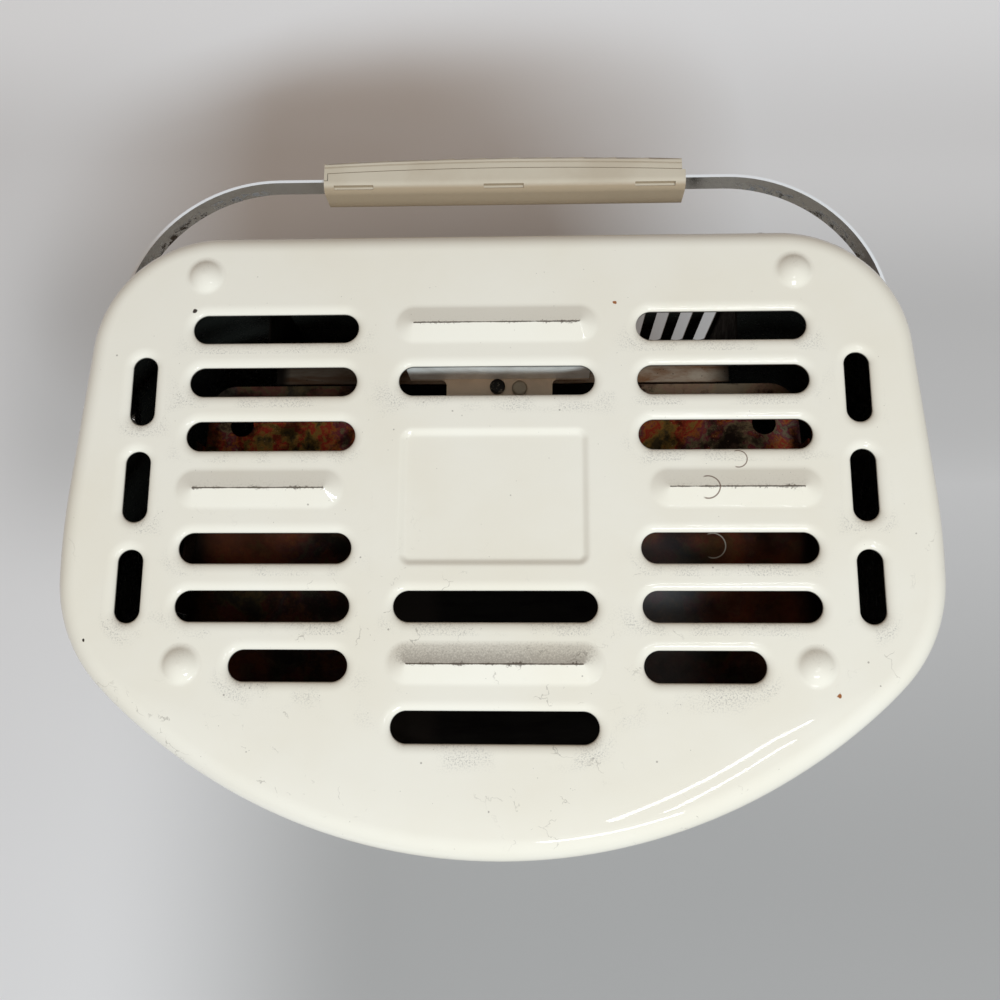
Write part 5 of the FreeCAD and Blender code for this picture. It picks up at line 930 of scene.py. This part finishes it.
class HEATER_OT_handle(bpy.types.Operator):
    """Finish the handle: two-piece grip and plated strap"""

    bl_idname = "heater.handle"
    bl_label = "Handle"

    def execute(self, context):
        paint(grip_plastic(context.scene.heater_colours), "grip_rear", "grip_front")
        paint(strap_chrome(), "handle_strap")
        paint(bright_metal("pivot_plate", (0.62, 0.61, 0.59, 1), 0.2, 0.4), "pivot_screws", "handle_stops")
        paint(moulded("bush", (0.03, 0.03, 0.03, 1), 0.5), "pivot_bushes")
        return {"FINISHED"}


class HEATER_OT_case(bpy.types.Operator):
    """Finish the panels, the base and the wire guard"""

    bl_idname = "heater.case"
    bl_label = "Case"

    def execute(self, context):
        paint(case_enamel_and_shade(context.scene.heater_colours),
              "side_panel_left", "side_panel_right", "rear_panel", "front_panel", "front_top_rail")
        paint(moulded("base_enamel", (0.10, 0.07, 0.05, 1), 0.3, 0.2), "base_pan")
        paint(moulded("foot_rubber", (0.02, 0.02, 0.02, 1), 0.7), "rubber_feet")
        paint(guard_chrome(), "front_guard")
        paint(bright_metal("case_screws", (0.55, 0.54, 0.50, 1), 0.25, 0.5), "plate_screws", "panel_screws")
        return {"FINISHED"}


def canopy_hem():
    """Strip along the canopy's front edge, turned down and rounded at its end."""
    sheet, bend, flat, half, steps = 0.8 * MM, 2.2 * MM, 4.5 * MM, 126 * MM, 6
    front, top = CANOPY_LOW.y, CANOPY_LOW.z + sheet
    outer = [(front, top)]
    inner = [(front, top - sheet)]
    for step in range(steps + 1):
        turn = math.radians(step * 90 / steps)
        across, drop = math.sin(turn), 1 - math.cos(turn)
        outer.append((front - flat - bend * across, top - bend * drop))
        inner.append((front - flat - (bend - sheet) * across, top - sheet - (bend - sheet) * drop))
    bm = bmesh.new()
    ring = [bm.verts.new((-half, y, z)) for y, z in outer + inner[::-1]]
    cap = bm.faces.new(ring)
    grown = bmesh.ops.extrude_face_region(bm, geom=[cap], use_keep_orig=True)["geom"]
    for item in grown:
        if isinstance(item, bmesh.types.BMVert):
            item.co.x = half
    bmesh.ops.recalc_face_normals(bm, faces=bm.faces)
    return bm


class HEATER_OT_hearth(bpy.types.Operator):
    """Finish the burner, the reflector and the heat-tinted sheets"""

    bl_idname = "heater.hearth"
    bl_label = "Hearth"

    def execute(self, context):
        tint = heat_tint_and_painted_light()
        paint(tint, "canopy")
        finish_piece(canopy_hem(), "canopy_hem", "case", tint, [])
        paint(smoked_and_shaded_sheet("shield_smoke_and_shade", (0.34, 0.27, 0.20, 1), (0.16, 0.07, 0.03, 1), 0.2),
              "rear_heat_shield")
        # Painted shade: the chamber floor and the canopy's riser are made near-black
        paint(smoked_and_shaded_sheet("shade_black_sheet", (0.003, 0.0025, 0.002, 1), (0.0015, 0.001, 0.001, 1), 0.0),
              "chamber_floor", "canopy_riser")
        paint(support_zinc(), "plate_support")
        paint(smoked_screws(), "bracket_screws")
        paint(galvanised(), "burner_bracket_left", "burner_bracket_right", "electrode_bracket",
              "valve_bracket", "tilt_switch_frame")
        paint(bright_metal("scorched_steel", (0.30, 0.24, 0.19, 1), 0.34, 0.8), "burner_box", "plaque_frame")
        paint(bright_metal("reflector_polish", (0.72, 0.71, 0.69, 1), 0.12, 0.5), "reflector")
        paint(plaque_ceramic(), "ceramic_plaques")
        paint(moulded("insulator", (0.80, 0.77, 0.70, 1), 0.4), "electrode_insulator", "burner_gasket")
        return {"FINISHED"}


class HEATER_OT_controls(bpy.types.Operator):
    """Finish the knob, the valve, the gas way and the ignition"""

    bl_idname = "heater.controls"
    bl_label = "Controls"

    def execute(self, context):
        paint(moulded("knob_plastic", (0.035, 0.028, 0.024, 1), 0.32),
              "control_knob", "knob_bezel", "igniter_unit")
        paint(moulded("hatch_plastic", (0.52, 0.46, 0.36, 1), 0.4), "battery_case", "battery_lid")
        paint(moulded("lead_cover", (0.03, 0.03, 0.03, 1), 0.6), "ht_lead", "battery_leads")
        paint(bright_metal("brass", (0.72, 0.52, 0.22, 1), 0.25, 0.6),
              "gas_nozzle", "hose_nipple", "nipple_nut", "magnet_unit")
        paint(bright_metal("cast_alloy", (0.50, 0.50, 0.50, 1), 0.42, 0.5),
              "mixing_tube", "nozzle_holder", "valve_body")
        paint(bright_metal("drawn_tube", (0.62, 0.62, 0.62, 1), 0.28, 0.4),
              "inlet_pipe", "gas_pipe", "thermocouple_lead")
        paint(bright_metal("plain_steel", (0.48, 0.47, 0.45, 1), 0.3, 0.5), "valve_spindle", "knob_spring",
              "electrode_rod", "thermocouple", "tilt_weight", "battery_cell", "pivot_nuts")
        return {"FINISHED"}


def area_light(name, power, colour, size, place, aim):
    """Soft oblong lamp that looks at a point."""
    lamp = bpy.data.lights.new(name, "AREA")
    lamp.energy = power
    lamp.color = colour
    lamp.shape = "RECTANGLE"
    lamp.size, lamp.size_y = size
    made = bpy.data.objects.new(name, lamp)
    made.location = place
    made.rotation_euler = (Vector(aim) - Vector(place)).to_track_quat("-Z", "Y").to_euler()
    bpy.context.scene.collection.objects.link(made)
    return made


def painted_light_floor(colours):
    """Pale paper floor, with painted light behind, painted shade towards the front right and a painted shadow
    in a patch on the left.
    """
    material, tree, shader, coords = new_material("floor")
    across, along, _ = axes(tree, coords)
    # Painted shade in front on the right and a painted shadow beside the heater on the left
    front = product(tree, ranged(tree, across, -0.34, -0.10), ranged(tree, along, 0.34, -0.25))
    painted_left_shadow = product(tree, ranged(tree, across, -0.50, -0.37), ranged(tree, along, -0.02, 0.14),
                     ranged(tree, along, 0.38, 0.22), 0.55)
    # Painted light: lighter behind
    pale = mixed(tree, ranged(tree, along, 0.38, 0.56), tuple(colours.floor), tuple(colours.floor_painted_light))
    paper = mixed(tree, largest(tree, front, painted_left_shadow), pale, tuple(colours.floor_painted_shade))
    cloud = mixed(tree, noise(tree, coords, 2.0), (1.0, 1.0, 1.0, 1.0), (0.95, 0.95, 0.95, 1.0))
    surface(tree, shader, mixed(tree, 1.0, paper, cloud, "MULTIPLY"), 0.85)
    return material


def lay_floor(scene):
    """Wide flat floor under the heater."""
    half = 6.0
    bm = bmesh.new()
    bmesh.ops.create_grid(bm, x_segments=1, y_segments=1, size=half)
    mesh = bpy.data.meshes.new("floor")
    bm.to_mesh(mesh)
    bm.free()
    floor = bpy.data.objects.new("floor", mesh)
    scene.collection.objects.link(floor)
    mesh.materials.append(painted_light_floor(scene.heater_colours))


def light_room(scene):
    """Window in front on the right, panes that only the gloss mirrors, a lamp overhead and a warm room."""
    stage = scene.heater_stage
    middle = Vector((0.0, 0.0, PLATE_HIGH.z))
    level, distance = math.cos(stage.height), 2.0
    away = Vector((level * math.sin(stage.bearing), -level * math.cos(stage.bearing),
                   math.sin(stage.height)))
    place = middle + distance * away
    window = area_light("window", stage.key, (0.79, 0.913, 1.0), (0.8, 0.22), place, middle)
    window.visible_glossy = False
    for share, size, place in PANES:
        pane = area_light("pane", share * stage.pane, (0.95, 0.97, 1.0), size, place, middle)
        pane.visible_diffuse = False
    ceiling = area_light("ceiling", stage.fill, (1.0, 0.86, 0.75), (0.5, 0.5), (0.0, -0.86, 2.5), middle)
    ceiling.visible_glossy = False
    world = bpy.data.worlds.new("room")
    scene.world = world
    world.use_nodes = True
    sky = world.node_tree.nodes["Background"]
    sky.inputs["Color"].default_value = (1.0, 0.845, 0.73, 1.0)
    sky.inputs["Strength"].default_value = stage.sky


class HEATER_OT_stage(bpy.types.Operator):
    """Set the camera, the floor and the lights"""

    bl_idname = "heater.stage"
    bl_label = "Stage"

    def execute(self, context):
        scene = context.scene
        stage = scene.heater_stage
        scene.view_settings.view_transform = "Standard"
        camera = bpy.data.objects.new("camera", bpy.data.cameras.new("camera"))
        camera.location = stage.eye
        camera.rotation_euler = stage.turn
        camera.data.lens = stage.lens
        camera.data.sensor_width = 36.0
        scene.collection.objects.link(camera)
        scene.camera = camera
        lay_floor(scene)
        light_room(scene)
        return {"FINISHED"}


class HEATER_PT_panel(bpy.types.Panel):
    """Sidebar list of the heater's pieces"""

    bl_idname = "HEATER_PT_panel"
    bl_label = "Radiant gas heater"
    bl_space_type = "VIEW_3D"
    bl_region_type = "UI"
    bl_category = "Heater"

    def draw(self, context):
        for operator in OPERATORS:
            self.layout.operator(operator.bl_idname)
        for group in SETTINGS:
            settings = getattr(context.scene, group)
            for name in settings.bl_rna.properties.keys():
                if name not in {"rna_type", "name"}:
                    self.layout.prop(settings, name)


OPERATORS = (HEATER_OT_top_plate, HEATER_OT_handle, HEATER_OT_case, HEATER_OT_hearth, HEATER_OT_controls,
             HEATER_OT_stage)
SETTINGS = {"heater_plate": HeaterPlate, "heater_colours": HeaterColours, "heater_stage": HeaterStage}


def register():
    """Register the classes and hang the settings on the scene."""
    for group, kind in SETTINGS.items():
        bpy.utils.register_class(kind)
        setattr(bpy.types.Scene, group, bpy.props.PointerProperty(type=kind))
    for kind in OPERATORS + (HEATER_PT_panel,):
        bpy.utils.register_class(kind)


def unregister():
    """Take the classes and the settings off again."""
    for kind in OPERATORS + (HEATER_PT_panel,):
        bpy.utils.unregister_class(kind)
    for group, kind in SETTINGS.items():
        delattr(bpy.types.Scene, group)
        bpy.utils.unregister_class(kind)


def main():
    """Build every piece."""
    register()
    bpy.ops.heater.top_plate()
    bpy.ops.heater.handle()
    bpy.ops.heater.case()
    bpy.ops.heater.hearth()
    bpy.ops.heater.controls()
    bpy.ops.heater.stage()


if __name__ == "__main__":
    main()
